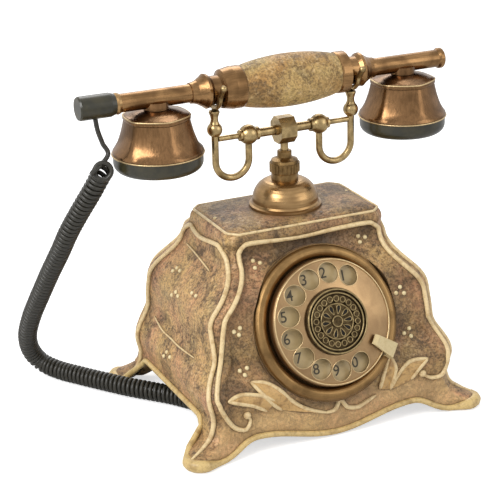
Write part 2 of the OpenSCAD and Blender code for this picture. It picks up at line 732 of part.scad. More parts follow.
module finger_wheel() {
    rim_low = 4.5;
    edge_r = wheel_r - 2;
    edge_h = wheel_face(edge_r);
    rs = [cap_r + 0.4, 24.6, finger_pitch_r, 33, edge_r];
    color("tan") at_dial() difference() {
        rotate_extrude() polygon(concat(
            [[dial_shaft_r, 10.4], [6, 10.4], [6, wheel_flat - wheel_t], [cap_r - 0.6, wheel_flat - wheel_t]],
            [for (r = rs) [r - 0.3, wheel_face(r) - wheel_t]],
            [[wheel_r - 1.2, edge_h - 3], [wheel_r - 1.2, rim_low], [wheel_r, rim_low]],
            [[wheel_r, edge_h - 2.4], [wheel_r - 0.7, edge_h - 0.6]],
            [for (i = [len(rs) - 1:-1:0]) [rs[i], wheel_face(rs[i])]],
            [[cap_r + 0.4, wheel_flat], [dial_shaft_r, wheel_flat]]
        ));
        at_finger_holes() cylinder(r = finger_r, h = 30);
    }
}
module rosette_cap() {
    color("darkolivegreen") at_dial() translate([0, 0, wheel_flat]) difference() {
        union() {
            rotate_extrude() polygon([
                [0, 0], [cap_r, 0], [cap_r, 2.6], [cap_r - 0.5, 3.2], [cap_r - 1.1, 3.2], [cap_r - 1.6, 2.2],
                [cap_r - 2.2, 2.2], [cap_r - 2.6, 2.9], [cap_r - 3.2, 2.9], [cap_r - 3.6, 1.8], [0, 2.2]
            ]);
            cylinder(r = 2.6, h = 3);
        }
        for (i = [0:9]) rotate([0, 0, 36 * i]) {
            translate([7.4, 0, 1]) cylinder(r = 1.6, h = 3);
            rotate([0, 0, 18]) translate([11.4, 0, 1]) cylinder(r = 1.3, h = 3);
        }
    }
}
module dial_shaft() {
    color("silver") at_dial() translate([0, 0, can_floor - 2])
        cylinder(r = dial_shaft_r, h = wheel_flat - can_floor + 2);
}
module toothed_disc(teeth, pitch_r, width) {
    tip = 0.8 * gear_module;
    root = 1.0 * gear_module;
    step = 360 / teeth;
    linear_extrude(width) polygon([
        for (i = [0:teeth - 1], k = [0:3])
            let (r = k == 0 || k == 3 ? pitch_r - root : pitch_r + tip,
                a = step * i + step * [-0.24, -0.1, 0.1, 0.24][k])
            [r * cos(a), r * sin(a)]
    ]);
}
module main_gear() {
    color("gold") at_dial() translate([0, 0, gear_low]) difference() {
        union() {
            rotate([0, 0, governor_angle]) toothed_disc(main_teeth, main_pitch_r, gear_t);
            cylinder(r = dial_shaft_r + 2.5, h = gear_t + 3);
        }
        translate([0, 0, -1]) cylinder(r = dial_shaft_r, h = gear_t + 5);
    }
}
module governor_rotor() {
    half_tooth = 180 / pinion_teeth;
    color("goldenrod") at_dial() rotate([0, 0, governor_angle]) translate([governor_r, 0, 0]) {
        translate([0, 0, gear_low]) rotate([0, 0, 180 + half_tooth])
            toothed_disc(pinion_teeth, pinion_pitch_r, gear_t);
        translate([0, 0, can_floor - 0.6]) cylinder(r = 1.5, h = 18.4);
        translate([0, 0, -2.6]) cylinder(r = 6.6, h = 4);
    }
}

// ---------------------------------------------------------------- cradle

module dome() {
    color("darkgoldenrod") translate([0, 0, dome_z]) difference() {
        rotate_extrude() polygon(concat(
            [[plunger_r + 1, 0], [dome_r, 0], [dome_r, 1.6], [dome_r - 1.4, 2.2], [dome_r - 2, 3.4]],
            [for (i = [1:8]) let (a = 10 * i) [9 + (dome_r - 11) * cos(a), 3.4 + (dome_h - 3.4) * sin(a)]],
            [[8, dome_h], [plunger_r + 1, dome_h]]
        ));
    }
}
module knurled_nut() {
    knurl_low = 5;
    knurl_h = 5.5;
    ribs = 24;
    color("darkgoldenrod") translate([0, 0, nut_z]) difference() {
        union() {
            rotate_extrude() polygon([
                [0, 0], [8.2, 0], [8.2, knurl_low - 0.8], [nut_r - 0.7, knurl_low],
                [nut_r - 0.7, knurl_low + knurl_h], [nut_r - 1.2, knurl_low + knurl_h + 1.8],
                [5.4, nut_h - 4.6], [4.4, nut_h - 4], [4.4, nut_h - 0.6], [3.8, nut_h], [0, nut_h]
            ]);
            translate([0, 0, knurl_low]) linear_extrude(knurl_h) polygon([
                for (i = [0:ribs - 1], k = [0:3])
                    let (
                        r = k == 0 || k == 3 ? nut_r - 0.5 : nut_r,
                        a = 360 / ribs * (i + [0.05, 0.2, 0.55, 0.7][k])
                    )
                    [r * cos(a), r * sin(a)]
            ]);
        }
        translate([0, 0, -1]) cylinder(r = plunger_r + fit, h = nut_h + 2);
    }
}
module hook_frame() {
    color("darkgray") difference() {
        union() {
            for (x = [-1, 1]) translate([x > 0 ? frame_in_x : -frame_in_x - frame_t, -6, frame_low_z]) {
                cube([frame_t, 27, top_inside_z - 3 - frame_low_z]);
            }
            for (x = [-1, 1]) translate([x > 0 ? frame_in_x : -20, -6, top_inside_z - 3 - frame_t])
                cube([12, 12, frame_t]);
            translate([-frame_in_x - eps, -6, shelf_z]) cube([2 * (frame_in_x + eps), 12, frame_t]);
        }
        translate([0, 0, shelf_z - 1]) cylinder(r = plunger_r + fit, h = 4);
        translate([-20, lever_y, lever_z]) rotate([0, 90, 0]) cylinder(r = lever_pin_r + fit, h = 40);
        for (x = [-1, 1]) translate([x * hook_screw_x, 0, top_inside_z - 8]) cylinder(r = 1.6, h = 8);
    }
}
module hook_screws() {
    color("silver") for (x = [-1, 1]) {
        translate([x * hook_screw_x, 0, top_inside_z - 3 - frame_t - 1.8]) screw(3, 1.8, 1.5, frame_t + 3);
    }
}
module hook_contacts() {
    block = [2 * frame_in_x, 7, 6];
    leaf_t = 0.6;
    leaf_y = lever_y + lever_tail + 0.6;
    color("saddlebrown") translate([-frame_in_x, lever_y - 4, 106]) cube(block);
    color("gold") for (x = [-5, 3]) translate([x, 0, 0]) {
        translate([0, lever_y - 4 + block[1], 108]) cube([2, leaf_y + leaf_t - lever_y + 4 - block[1], leaf_t]);
        translate([0, leaf_y, lever_z + 0.4]) cube([2, leaf_t, 108 - lever_z]);
    }
}
module hook_lever() {
    color("silver") translate([0, lever_y, lever_z]) {
        rotate([0, 90, 0]) cylinder(r = lever_pin_r, h = 2 * frame_in_x + 2 * frame_t + 1, center = true);
        translate([-3, -lever_y - lever_nose, 0]) cube([6, lever_y + lever_nose + lever_tail, lever_t]);
        rotate([0, 90, 0]) cylinder(r = 2.6, h = 8, center = true);
    }
}
module hook_spring() {
    low = shelf_z + frame_t + spring_wire_r;
    high = spring_seat_z - spring_wire_r;
    turns = [for (i = [0:spring_turns * 12])
        [spring_r * cos(30 * i), spring_r * sin(30 * i), mix(low, high, i / (spring_turns * 12))]];
    color("silver") tube_along(turns, spring_wire_r, 6);
}
module plunger() {
    color("goldenrod") {
        translate([0, 0, plunger_foot_z]) cylinder(r = plunger_r, h = crossbar_z - 7.9 - plunger_foot_z);
        translate([0, 0, spring_seat_z]) cylinder(r = spring_r + 1, h = 1.6);
    }
}
module cradle_block() {
    color("goldenrod") translate([0, 0, crossbar_z]) rotate([22.5, 0, 0]) rotate([0, 90, 0])
        cylinder(r = 8.55, h = 10.4, center = true, $fn = 8);
}
module crossbar() {
    flat = sqrt(ball_r * ball_r - collar_r * collar_r);
    color("goldenrod") translate([0, 0, crossbar_z]) for (side = [0, 1]) mirror([side, 0, 0]) turned_x([
        [5.2, 0], [5.2, rod_r + 0.4], [6.6, rod_r + 0.4], [6.6, rod_r], [ball_x - flat - 1.8, rod_r],
        [ball_x - flat - 1.8, collar_r], [ball_x - flat, collar_r], [ball_x - flat, thin_rod_r],
        [ball_x + flat, thin_rod_r], [ball_x + flat, collar_r - 0.6], [ball_x + flat + 1.6, collar_r - 0.6],
        [ball_x + flat + 2.4, thin_rod_r], [post_x - hook_wire_r, thin_rod_r], [post_x - hook_wire_r, 0]
    ]);
}
module ball(side) {
    flat = sqrt(ball_r * ball_r - collar_r * collar_r);
    color("goldenrod") translate([side * ball_x, 0, crossbar_z]) difference() {
        intersection() {
            sphere(r = ball_r);
            cube([2 * flat, 20, 20], center = true);
        }
        rotate([0, 90, 0]) cylinder(r = thin_rod_r, h = 20, center = true);
        translate([0, 0, -10]) cylinder(r = hook_wire_r, h = 6);
    }
}
module ball_left() ball(-1);
module ball_right() ball(1);
module hook(side) {
    color("goldenrod") translate([side * hook_mid_x, 0, hook_bend_z]) {
        rotate([90, 0, 0]) rotate([0, 0, 180]) rotate_extrude(angle = 180)
            translate([hook_r, 0]) circle(r = hook_wire_r);
        translate([-side * hook_r, 0, -eps]) cylinder(r = hook_wire_r, h = crossbar_z - 4 - hook_bend_z + eps);
        translate([side * hook_r, 0, -eps]) cylinder(r = hook_wire_r, h = finial_z - hook_bend_z + eps);
    }
}
module hook_left() hook(-1);
module hook_right() hook(1);
module fork(side) {
    waist_r = 2.2;
    fork_span = 78;
    tip = [15, handset_z + 4];
    start = [fork_r * sin(fork_span), handset_z - fork_r * cos(fork_span)];
    lean = atan2(tip[0] - start[0], tip[1] - start[1]);
    color("goldenrod") translate([side * post_x, 0, 0]) {
        difference() {
            union() {
                translate([0, 0, finial_z]) sphere(r = finial_r);
                translate([0, 0, finial_z + 3.6]) rotate_extrude() polygon([
                    [0, 0], [3, 0], [waist_r + 0.2, 1.4], [waist_r, 3], [waist_r + 0.3, 4.6],
                    [3.3, fork_flare_z - finial_z - 3.6], [3.1, fork_flare_z - finial_z - 2.6],
                    [1.4, fork_flare_z - finial_z - 2], [1.4, handset_z - fork_r - finial_z - 3.6],
                    [0, handset_z - fork_r - finial_z - 3.6]
                ]);
            }
            translate([0, 0, finial_z - 10]) cylinder(r = hook_wire_r, h = 10);
        }
        translate([0, 0, handset_z]) rotate([0, 90, 0]) rotate([0, 0, -fork_span])
            rotate_extrude(angle = 2 * fork_span) translate([fork_r, 0]) circle(r = fork_wire_r);
        for (y = [-1, 1]) {
            translate([0, y * start[0], start[1]]) rotate([-y * lean, 0, 0])
                cylinder(r = fork_wire_r - 0.1, h = norm(tip - start));
            translate([0, y * start[0], start[1]]) sphere(r = fork_wire_r + 0.1);
            translate([0, y * tip[0], tip[1]]) sphere(r = fork_wire_r + 0.4);
        }
    }
}
module fork_left() fork(-1);
module fork_right() fork(1);

// ---------------------------------------------------------------- handset

module handset_tube() {
    color("peru") at_handset() difference() {
        turned_x([
            [ring_x - 1.4, 0], [ring_x - 1.4, tube_r], [tube_end_x - 4, tube_r],
            [tube_end_x - 2.6, tube_r + 0.9], [tube_end_x - 0.6, tube_r + 0.9],
            [tube_end_x, tube_r + 0.4], [tube_end_x, 0]
        ]);
        rotate([0, 90, 0]) cylinder(r = tube_bore_r, h = through_all, center = true);
    }
}
grip_left_x = -28;
grip_right_x = 33.8;
grip_end_r = 12;
module grip() {
    steps = 14;
    color("burlywood") at_handset() difference() {
        turned_x(concat(
            [[grip_left_x, 0]],
            [for (i = [0:steps]) [
                mix(grip_left_x, grip_right_x, i / steps), mix(grip_end_r, grip_r, pow(sin(180 * i / steps), 0.8))
            ]],
            [[grip_right_x, 0]]
        ));
        tube_bore(200);
    }
}
// Ferrule with the neck that lies in the fork and the flared collar beyond it, from the grip outwards
module ferrule(side, grip_x) {
    neck_at = post_x;
    color("sienna") at_handset() mirror([side < 0 ? 1 : 0, 0, 0]) difference() {
        turned_x([
            [grip_x, 0], [grip_x, ferrule_r - 0.4], [grip_x + 1, ferrule_r], [grip_x + 6.4, ferrule_r],
            [neck_at - 4.4, ferrule_r - 1.2], [neck_at - 2.6, neck_r], [neck_at + 2.4, neck_r],
            [neck_at + 4.4, neck_r + 1.6], [neck_at + 6, neck_r + 1.9], [neck_at + 7.6, neck_r + 0.6],
            [neck_at + 11, tube_r + 1.6], [neck_at + 13.2, tube_r + 0.9],
            [neck_at + 15, tube_r + 0.7], [neck_at + 15, 0]
        ]);
        tube_bore(through_all);
    }
}
module ferrule_left() ferrule(-1, -grip_left_x);
module ferrule_right() ferrule(1, grip_right_x);
module cup_saddles() {
    color("sienna") for (x = [-1, 1]) translate([x * cup_x, 0, cup_z]) difference() {
        cylinder(r = 7.4, h = 4.4);
        translate([0, 0, cup_drop]) tube_bore(40);
    }
}
module shell(x) {
    steps = 4;
    hs = [for (i = [0:steps]) shell_h - 5 - (shell_h - 10) * i / steps];
    rs = [for (i = [0:steps]) mix(shell_top_r, shell_foot_r, pow(i / steps, 1.4))];
    color("sienna") translate([x, 0, rim_z]) difference() {
        union() {
            rotate([0, 0, 30]) for (i = [0:steps - 1]) translate([0, 0, hs[i + 1]])
                cylinder(r1 = rs[i + 1], r2 = rs[i], h = hs[i] - hs[i + 1] + eps, $fn = 6);
            translate([0, 0, hs[0]]) rotate([0, 0, 30]) cylinder(r = shell_top_r + 0.5, h = 3.6, $fn = 6);
            translate([0, 0, hs[0] + 3]) rotate_extrude()
                polygon([[0, 0], [shell_top_r - 1.2, 0], [shell_top_r - 1.8, 2], [0, 2]]);
            rotate_extrude() polygon([
                [0, 0], [cup_rim_r - 0.6, 0], [cup_rim_r, 1],
                [cup_rim_r - 0.2, 2.6], [cup_rim_r - 2.4, 5.4], [0, 5.4]
            ]);
        }
        translate([0, 0, -eps]) cylinder(r1 = cup_rim_r - 4.5, r2 = shell_top_r - 5, h = shell_h - 3);
    }
}
module mouth_shell() shell(-cup_x);
module ear_shell() shell(cup_x);
module capsule(x) {
    color("gainsboro") translate([x, 0, rim_z - 4]) cylinder(r = cap_end_r - 6.4, h = 6);
}
module mouth_capsule() capsule(-cup_x);
module ear_capsule() capsule(cup_x);
module end_cap(x, rings) {
    color("darkslategray") translate([x, 0, rim_z - cap_end_h]) difference() {
        rotate_extrude() polygon(concat(
            [[0, 0], [cap_end_r - 9, 0.4]], arc(cap_end_r - 5, 5, 5, -80, 0, 6),
            [[cap_end_r, cap_end_h], [cap_end_r - 6, cap_end_h], [cap_end_r - 6, 5.4], [0, 5.4]]
        ));
        for (k = [1:rings], i = [0:6 * k - 1]) rotate([0, 0, 60 * i / k])
            translate([5 * k, 0, -1]) cylinder(r = 1, h = 8, $fn = 16);
        translate([0, 0, -1]) cylinder(r = 1, h = 8, $fn = 16);
    }
}
module mouth_cap() end_cap(-cup_x, 2);
module ear_cap() end_cap(cup_x, 1);
module end_ring() {
    color("khaki") at_handset() difference() {
        turned_x([
            [ring_x - 2, 0], [ring_x - 2, tube_r + 0.5], [ring_x - 0.6, tube_r + 1],
            [ring_x + 1, tube_r + 0.4], [ring_x + 1, 0]
        ]);
        tube_bore(through_all);
    }
}
module cord_cap() {
    far = ring_x - 2 - cord_cap_l;
    color("darkslategray") at_handset() difference() {
        turned_x([
            [far, 0], [far, cord_cap_r - 0.6], [far + 1, cord_cap_r], [ring_x - 5, cord_cap_r],
            [ring_x - 2, tube_r + 0.6], [ring_x - 2, 0]
        ]);
        translate([cord_exit_x, 0, -12]) cylinder(r = lead_r, h = 9);
    }
}
module cord_lead_upper() {
    in_cap = [[cord_exit_x, 0, handset_z - 4]];
    color("dimgray") tube_along(concat(in_cap, smooth(lead_upper_route, 2)), lead_r, 8);
}
module cord_curl() {
    color("dimgray") tube_along(smooth(curl_route, 2), curl_r, 10);
}
module cord_lead_lower() {
    color("dimgray") tube_along(smooth(lead_lower_route, 2), lead_r, 8);
}

casing();
casing_posts();
foot_pads();
base_plate();
base_screws();
line_jack();
cord_socket();
network_board();
board_parts();
ringer_frame();
ringer_coils();
gong_left();
gong_right();
gong_screws();
clapper();
dial_bezel();
dial_screws();
dial_frame();
number_plate();
finger_stop();
governor_cup();
pulse_contacts();
finger_wheel();
rosette_cap();
dial_shaft();
main_gear();
governor_rotor();
dome();
knurled_nut();
hook_frame();
hook_screws();
hook_contacts();
hook_lever();
hook_spring();
plunger();
cradle_block();
crossbar();
ball_left();
ball_right();
hook_left();
hook_right();
fork_left();
fork_right();
handset_tube();
grip();
ferrule_left();
ferrule_right();
cup_saddles();
mouth_shell();
mouth_capsule();
mouth_cap();
ear_shell();
ear_capsule();
ear_cap();
end_ring();
cord_cap();
cord_lead_upper();
cord_curl();
cord_lead_lower();
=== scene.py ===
# %% [markdown]
# # An ornate table telephone with a rotary dial
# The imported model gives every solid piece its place. Here those pieces get the finish of
# the real thing, and the pieces that need finer relief (the casing, the finger wheel, the
# bells and the curly cord) are made again over the same sizes.

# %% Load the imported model
import math

import bpy
import numpy as np
from mathutils import Matrix, Vector


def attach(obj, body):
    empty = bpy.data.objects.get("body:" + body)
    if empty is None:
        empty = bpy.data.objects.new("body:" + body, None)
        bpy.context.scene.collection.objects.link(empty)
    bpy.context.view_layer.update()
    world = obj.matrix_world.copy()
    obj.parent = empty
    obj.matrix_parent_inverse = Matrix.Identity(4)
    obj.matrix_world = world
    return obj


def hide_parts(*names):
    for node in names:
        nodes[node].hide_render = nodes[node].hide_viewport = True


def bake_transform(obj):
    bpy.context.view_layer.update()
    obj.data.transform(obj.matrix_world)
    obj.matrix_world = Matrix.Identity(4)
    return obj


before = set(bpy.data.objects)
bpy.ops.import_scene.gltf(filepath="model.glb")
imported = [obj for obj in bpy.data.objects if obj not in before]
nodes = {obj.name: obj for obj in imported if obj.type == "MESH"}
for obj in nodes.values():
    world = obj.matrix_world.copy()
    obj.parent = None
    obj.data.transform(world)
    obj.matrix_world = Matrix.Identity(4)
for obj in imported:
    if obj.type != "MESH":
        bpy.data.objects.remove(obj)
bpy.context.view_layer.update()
MM = 0.001
print("pieces in the frame:", len(nodes))

# %% [markdown]
# ## Camera
# A long lens a metre away keeps the telephone's upright edges nearly parallel. The camera
# is built from two angles and a small roll, as a photographer would set a tripod head.

# %% Camera
def aim(azimuth, elevation, roll):
    a, e, r = (math.radians(v) for v in (azimuth, elevation, roll))
    back = Vector((math.sin(a) * math.cos(e), -math.cos(a) * math.cos(e), math.sin(e)))
    level = Vector((math.cos(a), math.sin(a), 0))
    rise = level.cross(-back)
    right = math.cos(r) * level + math.sin(r) * rise
    up = -math.sin(r) * level + math.cos(r) * rise
    return Matrix((right, up, back)).transposed().to_4x4()


camera = bpy.data.objects.new("camera", bpy.data.cameras.new("camera"))
bpy.context.scene.collection.objects.link(camera)
camera.matrix_world = Matrix.Translation((-0.4058, -0.8439, 0.45078)) @ aim(-24.33, 20.69, -1.42)
camera.data.lens = 117.4
camera.data.sensor_width = 36
bpy.context.scene.camera = camera
print("camera at", [round(v, 3) for v in camera.matrix_world.translation])

# %% [markdown]
# ## Curly cord
# The receiver cord is a thin vinyl cord wound tight on a rod and set with heat, so its
# turns lie side by side. It could be faked with a ribbed tube, but a real winding shows
# each turn's own highlight. A helix is carried along the cord's route: the route gives the
# hang, and the radius and pitch give the winding.

# %% Helpers for smooth routes
NO_ROUTE_WAY = (0.2, 1, 0.1)   # a direction that no route starts along
POINTS_PER_TURN = 20


def unit(v):
    return v / np.linalg.norm(v)


def smooth_route(points, steps):
    """A curve through all the points, with so many steps between each two."""
    p = np.array(points, float)
    p = np.vstack([p[0], p, p[-1]])
    t = np.linspace(0, 1, steps, endpoint=False)[:, None]
    out = []
    for a, b, c, d in zip(p[:-3], p[1:-2], p[2:-1], p[3:]):
        square, cube = 2 * a - 5 * b + 4 * c - d, 3 * b - a - 3 * c + d
        out.append(0.5 * (2 * b + (c - a) * t + square * t**2 + cube * t**3))
    return np.vstack(out + [p[-1:]])


def even_steps(line, count):
    """The line again in even steps, and its length."""
    run = np.concatenate([[0], np.cumsum(np.linalg.norm(np.diff(line, axis=0), axis=1))])
    at = np.linspace(0, run[-1], count)
    return np.stack([np.interp(at, run, line[:, k]) for k in range(3)], axis=1), run[-1]


def carried_frames(line):
    """Two directions across the line at each point, carried along without twist."""
    ways = np.gradient(line, axis=0)
    ways /= np.linalg.norm(ways, axis=1)[:, None]
    side = unit(np.cross(ways[0], NO_ROUTE_WAY))
    across = []
    for way in ways:
        side = unit(side - (side @ way) * way)
        across.append(side)
    across = np.array(across)
    return across, np.cross(ways, across)


def wound(line, radius, turns, start_angle):
    """A helix carried along the line."""
    fine = even_steps(line, int(turns * POINTS_PER_TURN) + 1)[0]
    across, rise = carried_frames(fine)
    a = math.radians(start_angle) + np.linspace(0, 2 * math.pi * turns, len(fine))
    return fine + radius * (np.cos(a)[:, None] * across + np.sin(a)[:, None] * rise)


def length_of(line):
    return float(np.linalg.norm(np.diff(line, axis=0), axis=1).sum())


# %% Helpers for mesh pieces
def mesh_piece(name, points, faces, finish=None, crease=35):
    """A piece from points in millimetres, smooth but for edges sharper than crease degrees."""
    data = bpy.data.meshes.new(name)
    places = [tuple(float(v) * MM for v in p) for p in points]
    data.from_pydata(places, [], [tuple(int(i) for i in f) for f in faces])
    data.validate()
    data.shade_smooth()
    data.set_sharp_from_angle(angle=math.radians(crease))
    piece = bpy.data.objects.new(name, data)
    bpy.context.scene.collection.objects.link(piece)
    if finish:
        data.materials.append(finish)
    return piece


def grid_faces(rows, columns, close_columns=True):
    """Four-sided faces over a grid whose columns close round, or don't."""
    faces = []
    for r in range(rows - 1):
        for c in range(columns if close_columns else columns - 1):
            d = (c + 1) % columns
            here, above = r * columns, (r + 1) * columns
            faces.append((here + c, here + d, above + d, above + c))
    return faces


def closed_grid(rows, columns):
    """Faces over a grid that closes both ways."""
    count = rows * columns
    return [tuple(i % count for i in f) for f in grid_faces(rows + 1, columns)]


def end_caps(rows, columns):
    """The first and the last row of a grid, each as one face."""
    return [tuple(range(columns - 1, -1, -1)), tuple(range((rows - 1) * columns, rows * columns))]


def wire_points(line, radius, across, rise, sides):
    """Round rings of points about a line; radius is one value or one for each point."""
    radii = np.broadcast_to(np.array(radius, float), (len(line),))
    a = np.linspace(0, 2 * math.pi, sides, endpoint=False)
    rings = line[:, None] + radii[:, None, None] * (
        np.cos(a)[None, :, None] * across[:, None] + np.sin(a)[None, :, None] * rise[:, None])
    return rings.reshape(-1, 3)


def tube_mesh(name, line, radius, sides, finish=None):
    """A wire with two ends."""
    line = np.array(line, float)
    points = wire_points(line, radius, *carried_frames(line), sides)
    faces = grid_faces(len(line), sides) + end_caps(len(line), sides)
    return mesh_piece(name, points, faces, finish, crease=60)


def closed_wire(line, radius, up, sides):
    """Points and faces of a wire that closes on itself and lies across up."""
    line = np.array(line, float)
    ways = np.roll(line, -1, axis=0) - np.roll(line, 1, axis=0)
    ways /= np.linalg.norm(ways, axis=1)[:, None]
    across = np.cross(ways, up)
    across /= np.linalg.norm(across, axis=1)[:, None]
    points = wire_points(line, radius, across, np.cross(ways, across), sides)
    return points, closed_grid(len(line), sides)


# %% Routes of the cord, in millimetres
CURL_R = 6.2       # of the coil, outside
WIRE_R = 1.4
PITCH = 3.15
TURN_R = CURL_R - WIRE_R
lead_upper_route = [(-118, 0, 197), (-117, 0, 190), (-114.5, 0, 182), (-112.5, -2, 175)]
curl_route = [
    (-117.5, -7, 168), (-116.5, -1, 164.5), (-121, 4.5, 153), (-126, 12, 140), (-131, 21, 125),
    (-134, 32, 109), (-137, 45, 92), (-140, 60, 72), (-142, 75, 53), (-142, 88, 35),
    (-138, 97, 20), (-131, 98, 9.5), (-123, 87, 6.5), (-114, 73, 6.5), (-105, 60, 6.5),
    (-92, 42, 6.5), (-81, 29, 6.5), (-71, 17, 6.5), (-62, 3, 6.5),
]
lead_lower_route = [(-58, -4, 6.5), (-54, -9, 8), (-51, -11.5, 12), (-50, -12, 18)]

curl_line = smooth_route(curl_route, 24)
curl_run = even_steps(curl_line, 1200)[1]
hang_share = 0.62  # of the coil; the rest lies on the table
turns = curl_run / PITCH
print("coil of", round(curl_run), "mm lies in", round(turns, 1), "turns")

# %% The winding, from the handset end to the table end
START_ANGLE = 200
coil = wound(curl_line, TURN_R, turns, START_ANGLE)
into_coil = [tuple(coil[0] + (coil[0] - coil[2]) * 1.2), tuple(coil[0])]
out_of_coil = [tuple(coil[-1]), tuple(coil[-1] + (coil[-1] - coil[-3]))]
lead_in = smooth_route(lead_upper_route + into_coil, 8)
lead_out = smooth_route(out_of_coil + lead_lower_route, 8)
split = int(hang_share * len(coil))
upper_line = np.vstack([lead_in[:-1], coil[:split + 1]])
lower_line = np.vstack([coil[split:], lead_out[1:]])
cord_upper = tube_mesh("receiver_cord_hanging", upper_line, WIRE_R, sides=8)
cord_lower = tube_mesh("receiver_cord_on_table", lower_line, WIRE_R, sides=8)
print("cord lengths, mm:", round(length_of(upper_line)), round(length_of(lower_line)))


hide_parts("cord_lead_upper", "cord_curl")
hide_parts("cord_lead_lower")
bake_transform(cord_upper)
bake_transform(cord_lower)

# %% [markdown]
# ## Finishes
# Each finish is a small node tree. Colours are written as the sRGB hex values that a paint
# chart would give, and one function turns them to the linear values that light adds up in.
# Pattern sizes are in millimetres of the real surface: a noise of 12 mm patches gets a
# scale of 1000 / 12, because the coordinates are metres.

# %% Colour and node helpers
def linear(hex_colour):
    """An sRGB hex colour as linear values with a full alpha."""
    values = [int(hex_colour[i:i + 2], 16) / 255 for i in (1, 3, 5)]
    lit = [v / 12.92 if v <= 0.04045 else ((v + 0.055) / 1.055) ** 2.4 for v in values]
    return (*lit, 1.0)


def add(tree, kind, inputs=None, **settings):
    """Adds one node. inputs are values, or sockets to link."""
    node = tree.nodes.new(kind)
    for name, value in settings.items():
        setattr(node, name, value)
    for name, value in (inputs or {}).items():
        if isinstance(value, bpy.types.NodeSocket):
            tree.links.new(value, node.inputs[name])
        else:
            node.inputs[name].default_value = value
    return node


def blank(name):
    """A material with its shader, its output and coordinates in metres."""
    material = bpy.data.materials.new(name)
    material.use_nodes = True
    tree = material.node_tree
    tree.nodes.clear()
    shader = add(tree, "ShaderNodeBsdfPrincipled")
    add(tree, "ShaderNodeOutputMaterial", {"Surface": shader.outputs["BSDF"]})
    place = add(tree, "ShaderNodeTexCoord").outputs["Object"]
    return material, tree, shader, place


def span(tree, value, low, high, to=(0.0, 1.0)):
    """A share that runs from one end of to to the other while value runs from low to high."""
    return add(tree, "ShaderNodeMapRange", {
        "Value": value, "From Min": low, "From Max": high, "To Min": to[0], "To Max": to[1]},
        clamp=True).outputs["Result"]


def patches(tree, place, size_mm, low, high, detail=4.0, warp=0.0, roughness=0.5):
    """Soft-edged patches of a real size, as a share from 0 to 1."""
    noise = add(tree, "ShaderNodeTexNoise", {
        "Vector": place, "Scale": 1000 / size_mm, "Detail": detail, "Distortion": warp,
        "Roughness": roughness})
    return span(tree, noise.outputs["Fac"], low, high)


def flat_colour(tree, colour):
    node = add(tree, "ShaderNodeRGB")
    node.outputs[0].default_value = linear(colour)
    return node.outputs[0]


def over(tree, below, colour, share):
    """Lays a colour over another by a share."""
    mix = add(tree, "ShaderNodeMix", {"Factor": share}, data_type="RGBA")
    tree.links.new(below, mix.inputs[6])
    if isinstance(colour, bpy.types.NodeSocket):
        tree.links.new(colour, mix.inputs[7])
    else:
        mix.inputs[7].default_value = linear(colour)
    return mix.outputs[2]


def times(tree, a, b):
    return add(tree, "ShaderNodeMath", {0: a, 1: b}, operation="MULTIPLY").outputs[0]


def plus(tree, a, b):
    """A sum that stops at 1."""
    node = add(tree, "ShaderNodeMath", {0: a, 1: b}, operation="ADD", use_clamp=True)
    return node.outputs[0]


def patina_and_shade_in_hollows(tree, reach_mm, low, high, only_local):
    """Darkening where a surface is closed in, as a share up to 0.9: partly the glaze that brushing
    leaves, partly painted shade.
    """
    open_sky = add(tree, "ShaderNodeAmbientOcclusion", {"Distance": reach_mm * MM}, samples=8,
                   only_local=only_local)
    return span(tree, open_sky.outputs["AO"], low, high, (0.9, 0.0))


def raise_surface(tree, shader, height, depth_mm, strength):
    bump = add(tree, "ShaderNodeBump", {
        "Height": height, "Distance": depth_mm * MM, "Strength": strength})
    tree.links.new(bump.outputs["Normal"], shader.inputs["Normal"])


